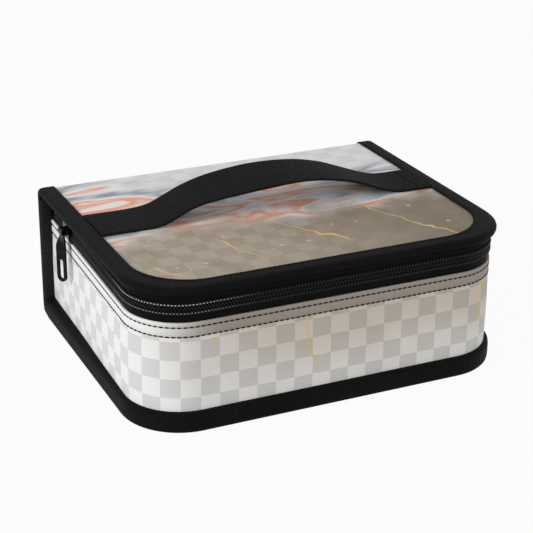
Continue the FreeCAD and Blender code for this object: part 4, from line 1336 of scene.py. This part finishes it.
# Dividers: foam boards sewn into dark cloth, one across the case and three shorter ones that slide
# along it. Each is a soft-edged pad, fuller in the middle, with a bound seam round its rim.
pad_cloth = woven_material(
    "pad_cloth", weave=(0.9 * MM, 0.0, 0.9 * MM), low=(50, 50, 54), high=(68, 68, 72),
    depth=0.12 * MM, strength=0.35, roughness=0.7,
)
pad_rows = 14
pad_columns = 20
pad_seam = 2.2 * MM
pad_swell = 2 * MM
pad_margin = 6 * MM
pad_edge_share = 0.42
seam_share = 0.62
rim_steps = [0.0, 0.5 * MM, 1.1 * MM, 1.7 * MM, 2.2 * MM, 3.2 * MM, 5.5 * MM]
seat = {
    "long_divider": "case", "front_divider_left": "front_left",
    "front_divider_right": "front_right", "rear_divider": "rear",
}


def pad_half_thickness(edge, full):
    """Half the pad's thickness at a distance from its rim: bound edge, seam line, then swell."""
    if edge < pad_seam:
        bound = math.sin(math.pi * edge / pad_seam)
        return full * (pad_edge_share + (seam_share - pad_edge_share) * bound)
    swollen = 1 - math.exp(-(edge - pad_seam) / pad_swell)
    return full * (pad_edge_share + (1 - pad_edge_share) * swollen)


def spread(total, count):
    """Places across a pad, crowded at both rims, with count more between them."""
    room = total - 2 * pad_margin
    inside = [pad_margin + room * (i + 1) / (count + 1) for i in range(count)]
    return rim_steps + inside + [total - step for step in reversed(rim_steps)]


for node, body in seat.items():
    pad_low, pad_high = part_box(node)
    size = pad_high - pad_low
    lengthwise = size.x > size.y
    length, full = (size.x, size.y / 2) if lengthwise else (size.y, size.x / 2)
    lengths, heights = spread(length, pad_columns), spread(size.z, pad_rows)
    vertices, maps = [], []
    for way in (-1, 1):
        for height in heights:
            for reach in lengths:
                edge = min(reach, length - reach, height, size.z - height)
                away = full + way * pad_half_thickness(edge, full)
                x, y = (reach, away) if lengthwise else (away, reach)
                vertices.append((pad_low.x + x, pad_low.y + y, pad_low.z + height))
                maps.append((reach, height))
    faces = two_sided(len(lengths), len(heights))
    pad = make_piece(node + "_pad", vertices, faces, [maps[v] for face in faces for v in face])
    dress(pad, pad_cloth, "divider_pad", body, node)

# Floor and backdrop: a wide pale sheet that the case stands on, seen as white, which keeps the
# faint shadow under the case.
floor_half = 4.0
floor_drop = -0.2 * MM
floor_grey = (0.62, 0.62, 0.62, 1.0)
floor_white = 0.95
white = (1.0, 1.0, 1.0, 1.0)
floor_plan = [(-1, -1), (1, -1), (1, 1), (-1, 1)]
floor_corners = [(x * floor_half, y * floor_half, floor_drop) for x, y in floor_plan]
floor_mesh = bpy.data.meshes.new("studio_floor")
floor_mesh.from_pydata(floor_corners, [], [(0, 1, 2, 3)])
studio_floor = put_in("studio_floor", floor_mesh)


def seen_share(tree, share):
    """share for rays from the camera, mirrors and glass, 0 for the light that falls on the case."""
    rays = add(tree, "ShaderNodeLightPath").outputs
    seen = calc(tree, "MAXIMUM", rays["Is Camera Ray"], rays["Is Glossy Ray"])
    seen = calc(tree, "MAXIMUM", seen, rays["Is Transmission Ray"])
    return calc(tree, "MULTIPLY", seen, share)


floor_paper = bpy.data.materials.new("floor_paper")
floor_paper.use_nodes = True
tree = floor_paper.node_tree
tree.nodes.clear()
paper = add(tree, "ShaderNodeBsdfDiffuse", {"Color": floor_grey}).outputs[0]
glow = add(tree, "ShaderNodeEmission", {"Color": white, "Strength": 1.0}).outputs[0]
both = add(tree, "ShaderNodeMixShader", {0: seen_share(tree, floor_white), 1: paper, 2: glow})
add(tree, "ShaderNodeOutputMaterial", {"Surface": both.outputs[0]})
floor_mesh.materials.append(floor_paper)

# Light: a large soft box high on the left, a wider weak one in front on the right, and a white
# room that fills the shadows and is seen as plain white.
world = bpy.data.worlds.new("white_room")
bpy.context.scene.world = world
world.use_nodes = True
tree = world.node_tree
tree.nodes.clear()
room = add(tree, "ShaderNodeBackground", {"Color": white, "Strength": 0.40}).outputs[0]
backdrop = add(tree, "ShaderNodeBackground", {"Color": white, "Strength": 1.0}).outputs[0]
both = add(tree, "ShaderNodeMixShader", {0: seen_share(tree, 1.0), 1: room, 2: backdrop})
add(tree, "ShaderNodeOutputWorld", {"Surface": both.outputs[0]})

aim = Vector((0, 0, 0.05))


def soft_box(name, place, size, power):
    """A square lamp that points at the case."""
    lamp = bpy.data.lights.new(name, "AREA")
    lamp.size = size
    lamp.energy = power
    box = put_in(name, lamp)
    box.location = place
    box.rotation_euler = (aim - Vector(place)).to_track_quat("-Z", "Y").to_euler()


soft_box("left_box", place=(-1.55, -0.15, 0.82), size=0.9, power=18.0)
soft_box("front_box", place=(0.45, -1.6, 0.75), size=1.2, power=10.2)

# Camera: a long lens about a metre away, from the left of the front and above. It is shifted a
# little sideways, because the case sits off the middle of the picture.
view_azimuth = math.radians(-23.6555)
view_elevation = math.radians(23.2989)
view_place = (-396.998 * MM, -839.038 * MM, 453.787 * MM)
picture_size = 533
focal_pixels = 1496.1553
camera_data = bpy.data.cameras.new("studio_camera")
camera_data.sensor_width = 36.0
camera_data.lens = focal_pixels / picture_size * camera_data.sensor_width
camera_data.shift_x = 0.0704
camera = put_in("studio_camera", camera_data)
camera.location = view_place
camera.rotation_euler = (math.pi / 2 - view_elevation, 0, view_azimuth)
bpy.context.scene.camera = camera
bpy.context.scene.view_settings.view_transform = "Standard"

bpy.context.view_layer.update()
